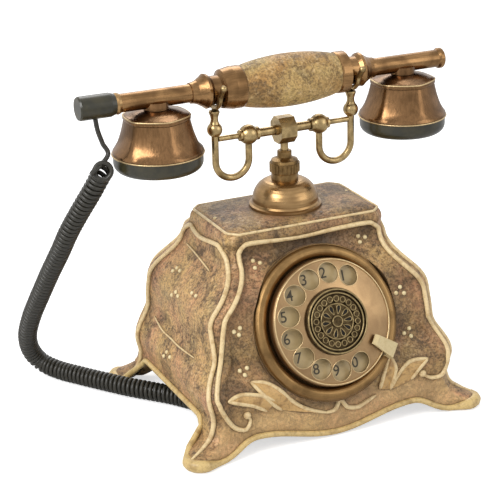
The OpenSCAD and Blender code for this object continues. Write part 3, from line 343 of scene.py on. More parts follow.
# %% Antiqued paint on the casting: copper, gold and umber rubbed over each other
def antiqued_paint(name, warm, gold, umber, dark_share, speck_share, faces=True):
    """Satin paint with a dark glaze in its pits, each about a millimetre across.

    With faces, the front above about 30 mm and the top are painted darker (painted shade), and the
    front below it lighter (painted light), only by the way each face points.
    """
    material, tree, shader, place = blank(name)
    clouds = patches(tree, place, 26, 0.38, 0.62, detail=5, warp=0.4)
    glaze = patches(tree, place, 15, 0.47, 0.64, detail=7, warp=0.6, roughness=0.66)
    green = patches(tree, place, 17, 0.55, 0.7, detail=5, warp=0.5)
    specks = patches(tree, place, 2.2, 0.47, 0.58, detail=4, roughness=0.75)
    pits = patches(tree, place, 1.1, 0.5, 0.6, detail=2, roughness=0.7)
    light = patches(tree, place, 2.8, 0.54, 0.64, detail=3, roughness=0.7)
    colour = over(tree, flat_colour(tree, gold), warm, clouds)
    colour = over(tree, colour, "#8f8560", times(tree, green, 0.4))
    colour = over(tree, colour, "#e6c592", times(tree, light, 0.5))
    if faces:
        normal = add(tree, "ShaderNodeNewGeometry").outputs["Normal"]
        facing = add(tree, "ShaderNodeSeparateXYZ", {"Vector": normal})
        front = span(tree, facing.outputs["Y"], -0.55, -0.9)
        top = span(tree, facing.outputs["Z"], 0.75, 0.97)
        height = add(tree, "ShaderNodeSeparateXYZ", {"Vector": place}).outputs["Z"]
        above = span(tree, height, 24 * MM, 38 * MM)
        below = span(tree, height, 34 * MM, 22 * MM)
        # Painted shade: the front above about 30 mm made darker, and the top darker and greyer, set by
        # which way each face points.
        colour = over(tree, colour, "#553c1e", times(tree, times(tree, front, above), 0.48))
        colour = over(tree, colour, "#5f5340", times(tree, top, 0.36))
    colour = over(tree, colour, umber, times(tree, glaze, dark_share))
    grain = plus(tree, glaze, 0.45)
    colour = over(tree, colour, umber, times(tree, times(tree, specks, grain), speck_share))
    colour = over(tree, colour, umber, times(tree, pits, 0.4 * speck_share))
    if faces:
        # Painted light: the front below about 30 mm made lighter, set by which way it faces.
        colour = over(tree, colour, "#dfb981", times(tree, times(tree, front, below), 0.5))
    # Partly glaze left in the hollows, partly painted shade: darker where the surface is closed in.
    colour = over(tree, colour, umber, patina_and_shade_in_hollows(tree, 8, 0.5, 0.98, only_local=False))
    tree.links.new(colour, shader.inputs["Base Color"])
    shader.inputs["Roughness"].default_value = 0.46
    shader.inputs["Specular IOR Level"].default_value = 0.45
    raise_surface(tree, shader, times(tree, specks, -1.0), 0.25, 0.8)
    return material


casing_paint = antiqued_paint(
    "antiqued_paint_on_casting", "#d19b70", "#cfa86c", "#4c3820", 0.66, 0.85)
grip_paint = antiqued_paint(
    "antiqued_paint_on_wood_grip", "#b98d52", "#c9a96a", "#5a4220", 0.55, 0.7, faces=False)
print("antiqued paints:", casing_paint.name, grip_paint.name)

# %% Cream enamel on the raised beads, rubbed thin on the crests
def rubbed_enamel(name, cream, under, share):
    material, tree, shader, place = blank(name)
    rubbed = patches(tree, place, 5, 0.5, 0.66, detail=6, warp=0.5)
    fine = patches(tree, place, 1.4, 0.5, 0.7, detail=3)
    colour = over(tree, flat_colour(tree, cream), under, times(tree, rubbed, share))
    colour = over(tree, colour, under, times(tree, fine, 0.35))
    tree.links.new(colour, shader.inputs["Base Color"])
    shader.inputs["Roughness"].default_value = 0.38
    raise_surface(tree, shader, rubbed, 0.12, 0.5)
    return material


bead_enamel = rubbed_enamel("cream_enamel_rubbed", "#e6cd9c", "#b08a55", 0.5)
rim_enamel = rubbed_enamel("gold_enamel_rubbed", "#d6b97c", "#8d6d40", 0.5)
flower_enamel = rubbed_enamel("cream_enamel_dots", "#eddbab", "#c8a86c", 0.35)
leaf_gold = rubbed_enamel("gold_enamel_leaf", "#c9a267", "#7e5a30", 0.7)
stop_enamel = rubbed_enamel("cream_enamel_smooth", "#d9c494", "#c2a772", 0.3)

# %% Antiqued metals: a dark chemical patina, brushed back so the bright metal shows
def antiqued_metal(name, bright, patina, patch_mm, share, roughness, brush=None, hollow_mm=4):
    """Metal with patina in patches and in fine lines, and darker in hollows, partly patina and partly
    painted shade.

    Brushing leaves the lines along one direction: brush gives their length along x, y and z.
    """
    material, tree, shader, place = blank(name)
    stain = patches(tree, place, patch_mm, 0.42, 0.68, detail=5, warp=0.6)
    colour = over(tree, flat_colour(tree, bright), patina, times(tree, stain, share))
    lines_at = place
    if brush:
        shrink = tuple(1 / v for v in brush)
        lines_at = add(tree, "ShaderNodeMapping", {"Vector": place, "Scale": shrink}).outputs[0]
    lines = patches(tree, lines_at, 1.0 if brush else 0.6, 0.4, 0.62, detail=2)
    colour = over(tree, colour, patina, times(tree, lines, 0.28 if brush else 0.12))
    # Partly patina in the hollows, partly painted shade: darker where the surface is closed in.
    patina_and_shade = patina_and_shade_in_hollows(tree, hollow_mm, 0.4, 0.95, only_local=True)
    colour = over(tree, colour, patina, patina_and_shade)
    tree.links.new(colour, shader.inputs["Base Color"])
    rough = span(tree, stain, 0.0, 1.0, (roughness, roughness + 0.12))
    tree.links.new(rough, shader.inputs["Roughness"])
    shader.inputs["Metallic"].default_value = 1.0
    raise_surface(tree, shader, lines, 0.03, 0.5)
    return material


cradle_brass = antiqued_metal("antiqued_brass_cast", "#b59c6f", "#4b3b22", 7, 0.6, 0.27)
nut_brass = antiqued_metal("antiqued_brass_knurled", "#92754c", "#3d2d19", 6, 0.6, 0.3)
dome_brass = antiqued_metal(
    "antiqued_brass_spun", "#ab8a5f", "#654b2e", 14, 0.45, 0.26, brush=(9, 9, 1.6))
bell_copper = antiqued_metal(
    "antiqued_copper_brushed", "#8a6847", "#43301d", 16, 0.6, 0.22, brush=(1.1, 1.1, 16))
tube_copper = antiqued_metal(
    "antiqued_copper_drawn", "#a27d54", "#4a3420", 14, 0.65, 0.22, brush=(16, 1.1, 1.1), hollow_mm=9)
bezel_bronze = antiqued_metal("antiqued_bronze_turned", "#92734a", "#46331d", 14, 0.55, 0.34)
wheel_bronze = antiqued_metal("satin_bronze_pressed", "#a88a64", "#7a6046", 16, 0.5, 0.32, hollow_mm=1)
# Painted highlight: a lighter copy of the bronze, for raised rings and edges where light catches them.
painted_highlight_bronze = antiqued_metal("bronze_edge_painted_highlight", "#cfb68a", "#8d7250", 9, 0.35, 0.34, hollow_mm=1)
cap_bronze = antiqued_metal(
    "dark_bronze_filigree", "#544630", "#1c150c", 3, 0.75, 0.45, hollow_mm=2)
cap_light = antiqued_metal(
    "rubbed_bronze_filigree", "#a08c64", "#4a3c26", 3, 0.5, 0.4, hollow_mm=1)
gong_brass = antiqued_metal(
    "spun_gong_brass", "#b89a58", "#7d6434", 12, 0.3, 0.25, brush=(9, 9, 0.8))
print("finishes so far:", len(bpy.data.materials))

# %% Plastics, cord, rubber, board and plated steel
def plain_finish(name, colour, second, size_mm, share, roughness, metallic=0.0, bump_mm=0.02):
    """Two close tones in soft patches."""
    material, tree, shader, place = blank(name)
    tone = patches(tree, place, size_mm, 0.4, 0.65)
    mixed = over(tree, flat_colour(tree, colour), second, times(tree, tone, share))
    tree.links.new(mixed, shader.inputs["Base Color"])
    shader.inputs["Roughness"].default_value = roughness
    shader.inputs["Metallic"].default_value = metallic
    raise_surface(tree, shader, tone, bump_mm, 0.5)
    return material


# Moulded phenolic: dark olive with a soft polish. Vinyl: a little duller, with a fine skin.
bakelite = plain_finish("phenolic_moulded_polished", "#2a281b", "#423c27", 6, 0.6, 0.28)
cord_vinyl = plain_finish("vinyl_extruded", "#24221b", "#37342a", 1.6, 0.6, 0.38, bump_mm=0.04)
plate_enamel = plain_finish("number_plate_enamel", "#bba476", "#9d875f", 7, 0.5, 0.4)
digit_ink = plain_finish("digit_ink_printed", "#51493a", "#403828", 2, 0.5, 0.7)
ivory_plastic = plain_finish("urea_plastic_moulded", "#dcd3bb", "#cabf9f", 9, 0.4, 0.35)
board_paper = plain_finish("phenolic_paper_board", "#8a5a2c", "#6e451f", 2, 0.6, 0.5)
parts_plastic = plain_finish("component_lacquer", "#2c4a68", "#3a5d80", 4, 0.5, 0.3)
coil_wire = plain_finish("enamelled_copper_wire", "#8a3b22", "#5f2414", 1.0, 0.8, 0.3, bump_mm=0.06)
zinc_plate = plain_finish("zinc_plated_steel", "#b7b6b0", "#94938c", 7, 0.6, 0.32, 1.0)
spring_steel = plain_finish("spring_steel_drawn", "#9a9994", "#6f6e69", 3, 0.5, 0.28, 1.0)
pad_rubber = plain_finish("rubber_moulded", "#23211f", "#33302c", 2, 0.5, 0.75, bump_mm=0.05)
# Painted shade: a near-black sheet that fills the piercings of the dial cap.
piercing_painted_shade = plain_finish("painted_shade_under_piercing", "#120e08", "#1c150c", 2, 0.5, 0.95)
foil_aluminium = plain_finish("aluminium_pressed", "#c9c7c1", "#a9a7a0", 5, 0.4, 0.35, 1.0)

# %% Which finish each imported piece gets
finish_of = {
    cradle_brass: "cradle_block crossbar ball_left ball_right hook_left hook_right fork_left"
                  " fork_right plunger",
    dome_brass: "dome end_ring",
    nut_brass: "knurled_nut",
    tube_copper: "handset_tube ferrule_left ferrule_right",
    bell_copper: "mouth_shell ear_shell cup_saddles",
    bezel_bronze: "dial_bezel",
    wheel_bronze: "finger_wheel",
    cap_bronze: "rosette_cap",
    bakelite: "mouth_cap ear_cap cord_cap cord_socket",
    plate_enamel: "number_plate",
    stop_enamel: "finger_stop",
    ivory_plastic: "line_jack",
    board_paper: "network_board pulse_contacts hook_contacts",
    parts_plastic: "board_parts",
    coil_wire: "ringer_coils",
    gong_brass: "gong_left gong_right main_gear clapper",
    spring_steel: "hook_spring dial_shaft governor_rotor gong_screws dial_screws hook_screws"
                  " base_screws",
    zinc_plate: "dial_frame governor_cup hook_frame hook_lever ringer_frame base_plate",
    pad_rubber: "foot_pads",
    foil_aluminium: "mouth_capsule ear_capsule",
    casing_paint: "casing casing_posts",
    grip_paint: "grip",
    cord_vinyl: "cord_lead_upper cord_curl cord_lead_lower",
}
for finish, names in finish_of.items():
    for name in names.split():
        for slot in nodes[name].material_slots:
            slot.material = finish
left_over = sorted(set(nodes) - set(" ".join(finish_of.values()).split()))
print("pieces without a finish:", left_over)
for piece in (cord_upper, cord_lower):
    piece.data.materials.append(cord_vinyl)

# %% [markdown]
# ## Casing
# The casting is one hollow shell. Its outline at any height is two half sizes, a bevelled
# corner band and a foot that spreads near the table. A box with modifiers could not follow
# four curves at once, so the shell is a grid: each column runs up one place of the outline
# and starts where the arch under that place ends. That gives clean arches with no cutting.

# %% Curves of the casing, in millimetres: pairs of height and half size
LOWEST, CASING_H, CROWN_H, ROLL_W, ROLL_H = 0.8, 124.5, 2.0, 3.4, 6.0
TOP_X, TOP_Y = 48.8, 28.9
BAND, BEAD_W, RECESS, WALL = 5.5, 3.5, 1.6, 3.0
side_curve = [(24, 78.5), (38, 81.3), (60, 72.8), (76, 72.8), (107, 53), (118.5, TOP_X + ROLL_W)]
front_curve = [(24, 66), (34, 67.8), (56, 57.5), (85, 50.5), (114, 30.5), (118.5, TOP_Y + ROLL_W)]
back_curve = [(24, 63), (43, 59.5), (64, 60.5), (79, 56.5), (105, 46), (118.5, TOP_Y + ROLL_W)]
front_foot, back_foot = (97, 74), (94, 73)


def ease(t):
    """A soft step from 0 to 1."""
    return (1 - math.cos(math.pi * max(0.0, min(1.0, t)))) / 2


def mix(a, b, t):
    return a + (b - a) * t


def eased(curve, z):
    """The curve's value at height z, with a soft step from each pair to the next."""
    if z <= curve[0][0]:
        return curve[0][1]
    for (z0, w0), (z1, w1) in zip(curve, curve[1:]):
        if z <= z1:
            return mix(w0, w1, ease((z - z0) / (z1 - z0)))
    return curve[-1][1]


def roll(z):
    """How far the rounded top edge draws in."""
    t = max(0.0, z - CASING_H + ROLL_H) / ROLL_H
    return ROLL_W * (1 - math.sqrt(max(0.0, 1 - t * t)))


def recess(z):
    """How deep the front lies behind its frame."""
    return RECESS * ease((z - 16) / 8) * ease((CASING_H - 5 - z) / 4)


def spread(z):
    """How much of the foot's spread is there, as a share."""
    foot = [(0, 0.72), (2, 0.9), (5, 1), (7, 0.95), (10, 0.58), (13, 0.28), (17, 0.1), (24, 0)]
    return float(np.interp(z, *zip(*foot)))


# %% Outline at one height
def quarter(x, y, c, r, foot, s):
    """Nine places from the middle of a side, round the bevelled corner, to the middle of a face.

    x and y are half sizes, c the bevel, r the recess and s the foot's spread.
    """
    side = mix(x, foot[0], 0.3 * s)
    fx, fy, k = mix(x, foot[0], s), mix(y, foot[1], s), mix(c, 8, s)
    return [
        (side, 0), (side, 0.6 * (y - c)), (fx, fy - k),
        (fx - 0.5 * k + 0.2 * k * s, fy - 0.5 * k + 0.2 * k * s), (fx - k, fy),
        (mix(x - c - BEAD_W, fx - 17, s), mix(y, fy, 0.6 * s)),
        (x - c - BEAD_W - 2, mix(y - r, fy, 0.25 * s)), ((x - c) / 2, y - r), (0, y - r),
    ]


def outline(x, front, back, c, r, s):
    """The whole outline, anticlockwise from the middle of the right side."""
    rear, face = quarter(x, back, c, 0, back_foot, s), quarter(x, front, c, r, front_foot, s)
    return (rear + [(-a, b) for a, b in rear[-2::-1]] + [(-a, -b) for a, b in face[1:]]
            + [(a, -b) for a, b in face[-2:0:-1]])


def ring_at(z):
    if z <= CASING_H:
        return outline(eased(side_curve, z) - roll(z), eased(front_curve, z) - roll(z),
                       eased(back_curve, z) - roll(z), BAND, recess(z), spread(z))
    inset = 6.5 * ((z - CASING_H) / CROWN_H) ** 1.6
    return outline(TOP_X - inset, TOP_Y - inset, TOP_Y - inset, BAND - 0.4 * inset, 0, 0)


# %% A fine table of outlines: rounded corners, one column for each place round the casing
CUTS = [4, 4, 1, 1, 2, 1, 6, 6]
CROWN_STEPS = [0.35, 0.8, 1.25, 1.6, 2.0]


def fine_ring(z):
    """The outline in short steps, with its corners cut twice to round them."""
    corners = ring_at(z)
    points = []
    for i, count in enumerate(2 * (CUTS + CUTS[::-1])):
        (ax, ay), (bx, by) = corners[i], corners[(i + 1) % len(corners)]
        points += [(mix(ax, bx, k / count), mix(ay, by, k / count)) for k in range(count)]
    p = np.array(points)
    for _ in range(2):
        after = np.roll(p, -1, axis=0)
        p = np.stack([0.75 * p + 0.25 * after, 0.25 * p + 0.75 * after], axis=1).reshape(-1, 2)
    return p


heights = np.concatenate([
    np.arange(LOWEST, CASING_H, 0.4), [CASING_H], CASING_H + np.array(CROWN_STEPS)])
rings = np.array([fine_ring(z) for z in heights])
columns = rings.shape[1]
print("columns round the casing:", columns)


def on_casing(column, z, out=0.0):
    """The point of a column at height z, moved out by some millimetres."""
    def at(c):
        return np.array([np.interp(z, heights, rings[:, c % columns, k]) for k in range(2)])

    p = at(column)
    if out:
        along = unit(at(column + 1) - at(column - 1))
        p = p + out * np.array([along[1], -along[0]])
    return np.array([p[0], p[1], z])


# %% Where each column starts: the arches under the casing
def wave(x):
    x = abs(x)
    return mix(1.2, 9.7, ease(x / 52)) if x < 52 else mix(9.7, 0.0, ease((x - 52) / 26))


def side_arch(y):
    return mix(20.0, -0.5, ease((abs(y) - 42) / 19))


starts = []
for c in range(columns):
    z = LOWEST
    for _ in range(12):
        x, y = on_casing(c, z)[:2]
        z = mix(z, max(LOWEST, wave(x), side_arch(y)), 0.6)
    starts.append(z)
starts = np.array(starts)
print("arch heights from", round(starts.min(), 1), "to", round(starts.max(), 1), "mm")

# %% The shell: a grid over the columns, thickened inward and opened for the dial
def fix(piece, body):
    """Ties a piece to the body that it moves with."""
    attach(piece, body)
    return piece


CASING_CREASE = 50
rises = 1 - (1 - np.linspace(0, 1, 120)) ** 1.15   # shares of the height, closer at the top
shell_points = [on_casing(c, mix(starts[c], CASING_H, t)) for t in rises for c in range(columns)]
shell_points += [on_casing(c, z) for z in heights[-len(CROWN_STEPS):] for c in range(columns)]
shell_rows = len(rises) + len(CROWN_STEPS)
lid = end_caps(shell_rows, columns)[1]
casing = mesh_piece("casing_shell", shell_points, grid_faces(shell_rows, columns) + [lid],
                    casing_paint, CASING_CREASE)
print("casing shell faces:", len(casing.data.polygons))

# %% The dial's own axes
DIAL_SEAT = np.array([0, -51.64, 68.0])
TILT = math.radians(22.7)
DIAL_UP = np.array([0, math.sin(TILT), math.cos(TILT)])
DIAL_OUT = np.array([0, -math.cos(TILT), math.sin(TILT)])


def dial_point(x, y, z):
    """Where a place on the dial is: z is its height over the seat."""
    return DIAL_SEAT + x * np.array([1, 0, 0]) + y * DIAL_UP + z * DIAL_OUT


def polar(r, degrees, z):
    return dial_point(r * math.cos(math.radians(degrees)), r * math.sin(math.radians(degrees)), z)


def turned(name, profile, segments, finish=None, crease=35):
    """A closed, anticlockwise profile of radius and height turned about the dial's axis."""
    points = [polar(r, 360 * i / segments, z) for r, z in profile for i in range(segments)]
    return mesh_piece(name, points, closed_grid(len(profile), segments), finish, crease)


def cut(piece, cutter, crease):
    """Subtracts the cutter for good, and removes it."""
    bpy.context.view_layer.update()
    modifier = piece.modifiers.new("cut", "BOOLEAN")
    modifier.object, modifier.operation, modifier.solver = cutter, "DIFFERENCE", "EXACT"
    graph = bpy.context.evaluated_depsgraph_get()
    old, piece.data = piece.data, bpy.data.meshes.new_from_object(piece.evaluated_get(graph))
    piece.modifiers.clear()
    bpy.data.meshes.remove(old)
    bpy.data.objects.remove(cutter)
    piece.data.set_sharp_from_angle(angle=math.radians(crease))


# %% The wall's thickness, the opening for the dial and the seat that the bezel stands on
solid = casing.modifiers.new("wall", "SOLIDIFY")
solid.thickness = WALL * MM
solid.offset = -1
SEAT_R, SEAT_T, FLANGE_R, CAN_R = 47.0, 3.0, 41.2, 34.1
AXIS_R = 0.01     # a turned cutter nearly closes on its axis
cutter = turned("dial_cutter", [
    (AXIS_R, -18), (FLANGE_R, -18), (FLANGE_R, -1.5), (SEAT_R, -1.5), (SEAT_R, 30), (AXIS_R, 30)], 96)
cut(casing, cutter, CASING_CREASE)
rim_r = SEAT_R + 0.4
seat = turned("dial_seat", [
    (CAN_R, -SEAT_T), (rim_r, -SEAT_T), (rim_r, 0), (CAN_R, 0)], 96, casing_paint)

# %% The opening for the line jack, cut right through the back wall
JACK_GAP, JACK_REACH = 0.2, 12
corners = [Vector(c) / MM for c in nodes["line_jack"].bound_box]
low = [min(c[k] for c in corners) - JACK_GAP for k in range(3)]
high = [max(c[k] for c in corners) + JACK_GAP for k in range(3)]
high[1] += JACK_REACH
box_points = [(x, y, z) for z in (low[2], high[2]) for x, y in (
    (low[0], low[1]), (high[0], low[1]), (high[0], high[1]), (low[0], high[1]))]
box_faces = [(3, 2, 1, 0), (4, 5, 6, 7), (0, 1, 5, 4), (1, 2, 6, 5), (2, 3, 7, 6), (3, 0, 4, 7)]
print("jack opening:", [round(v, 1) for v in low], [round(v, 1) for v in high])
cut(casing, mesh_piece("jack_cutter", box_points, box_faces), CASING_CREASE)
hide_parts("casing")
for piece in (casing, seat):
    fix(piece, "base")
print("casing faces after the cut:", len(casing.data.polygons))

# %% [markdown]
# ## Raised ornament on the casing
# The beads, scrolls and leaves are cast with the shell and picked out in cream. Each one is
# a tapered tube sunk a little into the surface, so that light catches it as a soft ridge.

# %% Places on the faces of the casing
FACE_COLUMNS = {
    face: [c % columns for c in range(middle - 64, middle + 64)]
    for face, middle in (("front", 300), ("back", 100), ("left", 200), ("right", 400))}


def face_point(u, z, face, out=0.0):
    """A point on a face: u is x on the front and back, y on the sides."""
    axis = 0 if face in ("front", "back") else 1
    ring = np.array([on_casing(c, z)[:2] for c in FACE_COLUMNS[face]])
    ring = ring[np.argsort(ring[:, axis])]
    before, w, after = np.interp([u - 1, u, u + 1], ring[:, axis], ring[:, 1 - axis])
    sign = -1 if face in ("front", "left") else 1
    normal = unit(np.array([-(after - before) / 2 * sign, sign]))
    p = [u + out * normal[0], w + out * normal[1]]
    return np.array([p[0], p[1], z] if axis == 0 else [p[1], p[0], z])


def on_face(pairs, face, out):
    return [face_point(u, z, face, out) for u, z in pairs]


def stroke(name, pairs, radius, face, taper=0.35):
    """A raised line through places on a face; taper is how thick its ends are, as a share."""
    line = smooth_route(on_face(pairs, face, 0.25), 6)
    t = np.linspace(0, 1, len(line))
    thickness = radius * (taper + (1 - taper) * np.clip(np.minimum(t, 1 - t) * 6, 0, 1) ** 0.5)
    return fix(tube_mesh(name, line, thickness, 8, bead_enamel), "base")


def dots(name, places, radius, finish=flower_enamel):
    """Small raised drops, all in one mesh."""
    sides, rows = 12, 5
    points, faces = [], []
    for p in places:
        base = len(points)
        first, last, foot = base + 1, base + 1 + sides * (rows - 1), base + 1 + sides * rows
        points.append(p + np.array([0, 0, radius]))
        for row in range(1, rows + 1):
            a = math.pi * row / (rows + 1)
            for b in (2 * math.pi * k / sides for k in range(sides)):
                way = math.sin(a) * math.cos(b), math.sin(a) * math.sin(b), math.cos(a)
                points.append(p + radius * np.array(way))
        points.append(p - np.array([0, 0, radius]))
        for k in range(sides):
            j = (k + 1) % sides
            faces.append((base, first + k, first + j))
            for q in range(first, last, sides):
                faces.append((q + k, q + sides + k, q + sides + j, q + j))
            faces.append((foot, last + j, last + k))
    return fix(mesh_piece(name, points, faces, finish, 80), "base")


# %% Beads: one unbroken bead frames each face, and the front one ends in two scrolls
BEAD_R = 1.45
scroll_left = [
    (-58, 25.9), (-56.1, 22.1), (-59.4, 17.7), (-65.8, 19.6), (-70.7, 25.6), (-75, 33.7),
    (-75.9, 36.9), (-76.6, 39.8), (-75.1, 44.4), (-72.6, 49.5), (-70.5, 55), (-69.2, 61),
    (-68, 67), (-66.6, 74),
]
scroll_right = [
    (70.3, 55), (73.6, 48.8), (76.2, 41.9), (75.5, 36.4), (75.1, 29.6), (72.3, 24.4),
    (66.7, 23), (61.7, 25.4), (59.3, 27.9),
]
front_top = [
    (-43.6, 117), (-38.7, 118.5), (-22, 117.3), (-5.8, 116.3), (8, 117.2), (20.5, 118.1),
    (38.5, 118.1), (43.4, 116.4),
]
side_top = [
    (23.5, 114.8), (17.7, 113.1), (9.9, 111.8), (2, 112.3), (-5, 113.4), (-14.5, 114.7), (-20, 114.6),
]


def up_column(column, z_low, z_high=110.0):
    return [on_casing(column, z, 0.6) for z in np.linspace(z_low, z_high, 26)]


def along_face(pairs, face):
    return on_face(pairs, face, 0.5)


arches = {
    "bead_left": up_column(171, 7) + along_face(side_top, "left") + up_column(232, 7)[::-1],
    "bead_right": up_column(28, 7) + along_face(side_top, "right") + up_column(368, 7)[::-1],
    "bead_front": (
        along_face(scroll_left, "front") + up_column(242, 80, 113)
        + along_face(front_top, "front")
        + up_column(358, 61, 113)[::-1] + along_face(scroll_right, "front")),
    "bead_back": (
        up_column(158, 12, 113) + along_face(front_top, "back") + up_column(42, 12, 113)[::-1]),
}
for name, places in arches.items():
    line = smooth_route(places, 3)
    t = np.linspace(0, 1, len(line))
    thickness = BEAD_R * (0.5 + 0.5 * np.clip(np.minimum(t, 1 - t) * 30, 0, 1))
    fix(tube_mesh(name, line, thickness, 10, bead_enamel), "base")
dots("scroll_eyes", on_face([(-58, 25.9), (59.3, 27.6)], "front", 0.3), 2.4, bead_enamel)
print("beads:", len(arches))

# %% Leaves and a wave on the apron
leaves = {
    "leaf_left_a": (
        [(-53.7, 44.8), (-45, 43), (-37.1, 37.9), (-27.5, 27.4), (-17.7, 20.6), (-5.8, 16.2)],
        [(-53.7, 44.8), (-48, 37.5), (-42, 30), (-35.4, 23.9)]),
    "leaf_left_b": (
        [(-70.4, 37.7), (-63, 39.6), (-56.4, 39), (-48, 36.5), (-40.5, 32)],
        [(-70.4, 37.7), (-63, 35), (-54, 31.5), (-45.1, 25.5)]),
    "leaf_right_a": (
        [(37.6, 43.2), (32.2, 34), (30.2, 23)],
        [(37.6, 43.2), (40, 36.5), (39.4, 30), (37.1, 22)]),
    "leaf_right_b": (
        [(62.7, 37.2), (50.1, 37.6), (41.8, 30.4), (37.1, 21.4)],
        [(62.7, 37.2), (57.1, 32.4), (51.6, 24.9)]),
}
middle_wave = [
    (-7.8, 16.6), (-1.1, 17.4), (3, 22.4), (7, 17.3), (13.8, 15.6), (19.2, 17.4), (27, 20)]


def leaf_fill(name, edge_lines, face):
    """A low cushion between the two edges of a leaf."""
    along, across = 20, 7
    a, b = (even_steps(smooth_route([(u, z, 0) for u, z in line], 6), along)[0]
            for line in edge_lines)
    points = []
    for p, q in zip(a, b):
        for s in np.linspace(0, 1, across):
            u, z = mix(p, q, s)[:2]
            points.append(face_point(u, z, face, 0.2 + 0.9 * math.sin(math.pi * s)))
    faces = grid_faces(along, across, close_columns=False)
    return fix(mesh_piece(name, points, faces, leaf_gold, 60), "base")


for name, edge_lines in leaves.items():
    for face, sign in (("front", 1), ("back", -1)):
        sides = [[(sign * u, z) for u, z in line] for line in edge_lines]
        leaf_fill(f"{name}_{face}_fill", sides, face)
        for i, line in enumerate(sides):
            stroke(f"{name}_{face}_{i}", line, 1.25, face, taper=0.3)
stroke("wave_front", middle_wave, 1.4, "front", taper=0.3)
stroke("wave_back", [(-u, z) for u, z in middle_wave], 1.4, "back", taper=0.3)
print("leaves:", 2 * len(leaves))

# %% Thin lines on the sides, flowers and drops
side_lines = [
    [(27.3, 101.8), (13.3, 100.7), (-1.1, 99.3), (-13.7, 98)],
    [(35.8, 53.9), (19.2, 51.1), (4.2, 51), (-8.7, 50.8), (-30.1, 52)],
]
for i, places in enumerate(side_lines):
    for face in ("left", "right"):
        stroke(f"{face}_line_{i}", places, 0.6, face)
side_flowers = [
    (21.4, 87.7), (19.8, 89.8), (14.7, 89.7), (9.2, 77.4), (5, 80.7), (0.8, 79.7),
    (-12.5, 85.7), (-18.2, 85.9), (5.5, 40.2), (3, 43.6), (-2.7, 42.7),
]
front_flowers = [
    (-36.8, 106.9), (-32.9, 105.3), (-37, 103.5), (33.9, 109.5), (38.3, 108.3), (34.1, 106.3),
    (52.2, 79.8), (49, 76.8), (54.4, 75.8), (55, 54.7), (51.2, 52.4), (55.5, 50),
    (-58.9, 73.6), (-54.8, 75), (-56.1, 71.4), (-58.4, 51.1), (-53.7, 51.8), (-55.9, 48.5),
]
top_flowers = [
    (-46.8, -0.3), (-42.2, 1.3), (-42.8, -4.5), (41.6, 6.3), (45.2, 6.6), (33.9, -13.3),
    (37.7, -15.3),
]
back_flowers = [(u, z) for u, z in front_flowers if z > 60 or abs(u) > 53]
for face, pairs, radius in (("left", side_flowers, 1.3), ("right", side_flowers, 1.3),
                            ("front", front_flowers, 1.4), ("back", back_flowers, 1.4)):
    dots(f"{face}_flowers", on_face(pairs, face, -0.2), radius)
dots("top_flowers", [np.array([x, y, 125.2]) for x, y in top_flowers], 1.2)
print("flowers set")

# %% Closed beads: the trim round the top and the lip along the lower edge
def loop_mesh(name, line, radii, sides, finish):
    """A closed wire that lies level."""
    return mesh_piece(name, *closed_wire(line, radii, (0, 0, 1.0), sides), finish, 60)


trim_line = [on_casing(c, 124.0) for c in range(0, columns, 2)]
fix(loop_mesh("top_trim", trim_line, 0.8, 8, bead_enamel), "base")
lip_line, lip_r = [], []
for c in range(0, columns, 2):
    p = on_casing(c, starts[c])
    r = mix(1.8, 3.7, ease((abs(p[0]) - 74) / 14) * ease((abs(p[1]) - 50) / 14))
    lip_line.append(on_casing(c, starts[c] + 0.9 * r, 0.4 - 0.1 * r))
    lip_r.append(r)
fix(loop_mesh("lower_lip", lip_line, lip_r, 12, rim_enamel), "base")
print("lip from", round(min(lip_r), 1), "to", round(max(lip_r), 1), "mm thick")

# %% [markdown]
# ## Dial
# The wheel is pressed from sheet, with a rolled edge and a raised ring round every finger
# hole. The cap over its middle is pierced: rings, drops and small circles of bright metal
# stand over a dark disc.

# %% Finger wheel
WHEEL_R, WHEEL_FLAT, CURVE_R, WHEEL_T = 38.0, 15.0, 111.0, 1.4
DOMED_R = 36.2     # where the domed face ends and the rolled edge begins
FINGER_R, FINGER_PITCH = 6.3, 29.0
FINGER_ANGLES = [60.2 + 26 * i for i in range(10)]
finger_spots = [
    (FINGER_PITCH * math.cos(math.radians(a)), FINGER_PITCH * math.sin(math.radians(a)))
    for a in FINGER_ANGLES]


def wheel_face(r):
    return 17 - CURVE_R + math.sqrt(CURVE_R**2 - r * r)


def circle_places(cx, cy, r, height, count=48):
    """Places round a circle on the dial; height is found from the distance to its middle."""
    turn = [2 * math.pi * k / count for k in range(count)]
    at = [(cx + r * math.cos(a), cy + r * math.sin(a)) for a in turn]
    return [(x, y, height(math.hypot(x, y))) for x, y in at]


face_rs = [20.0] + list(np.linspace(20.5, DOMED_R, 16))
edge = wheel_face(DOMED_R)
under = WHEEL_FLAT - WHEEL_T
profile = [(3.0, 10.4), (3.0, WHEEL_FLAT), (19.6, WHEEL_FLAT)]
profile += [(r, wheel_face(r)) for r in face_rs]
profile += [(36.9, edge - 0.25), (37.5, edge - 0.75), (37.9, edge - 1.5)]
profile += [(WHEEL_R, edge - 2.4), (WHEEL_R, 4.5), (36.8, 4.5), (36.8, edge - 3)]
profile += [(r, wheel_face(r) - WHEEL_T) for r in face_rs[::-1]]
profile += [(19.0, under), (6.0, under), (6.0, 10.4)]
wheel = turned("wheel_pressed", profile[::-1], 180, wheel_bronze, 40)
hole_points, hole_faces = [], []
for x, y in finger_spots:
    base = len(hole_points)
    for z in (6.0, 24.0):
        hole_points += [dial_point(*p) for p in circle_places(x, y, FINGER_R, lambda r: z)]
    hole_faces += [tuple(base + i for i in f) for f in grid_faces(2, 48) + end_caps(2, 48)]
cut(wheel, mesh_piece("finger_holes", hole_points, hole_faces), 40)
fix(wheel, "dial")
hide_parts("finger_wheel")
print("wheel faces:", len(wheel.data.polygons))

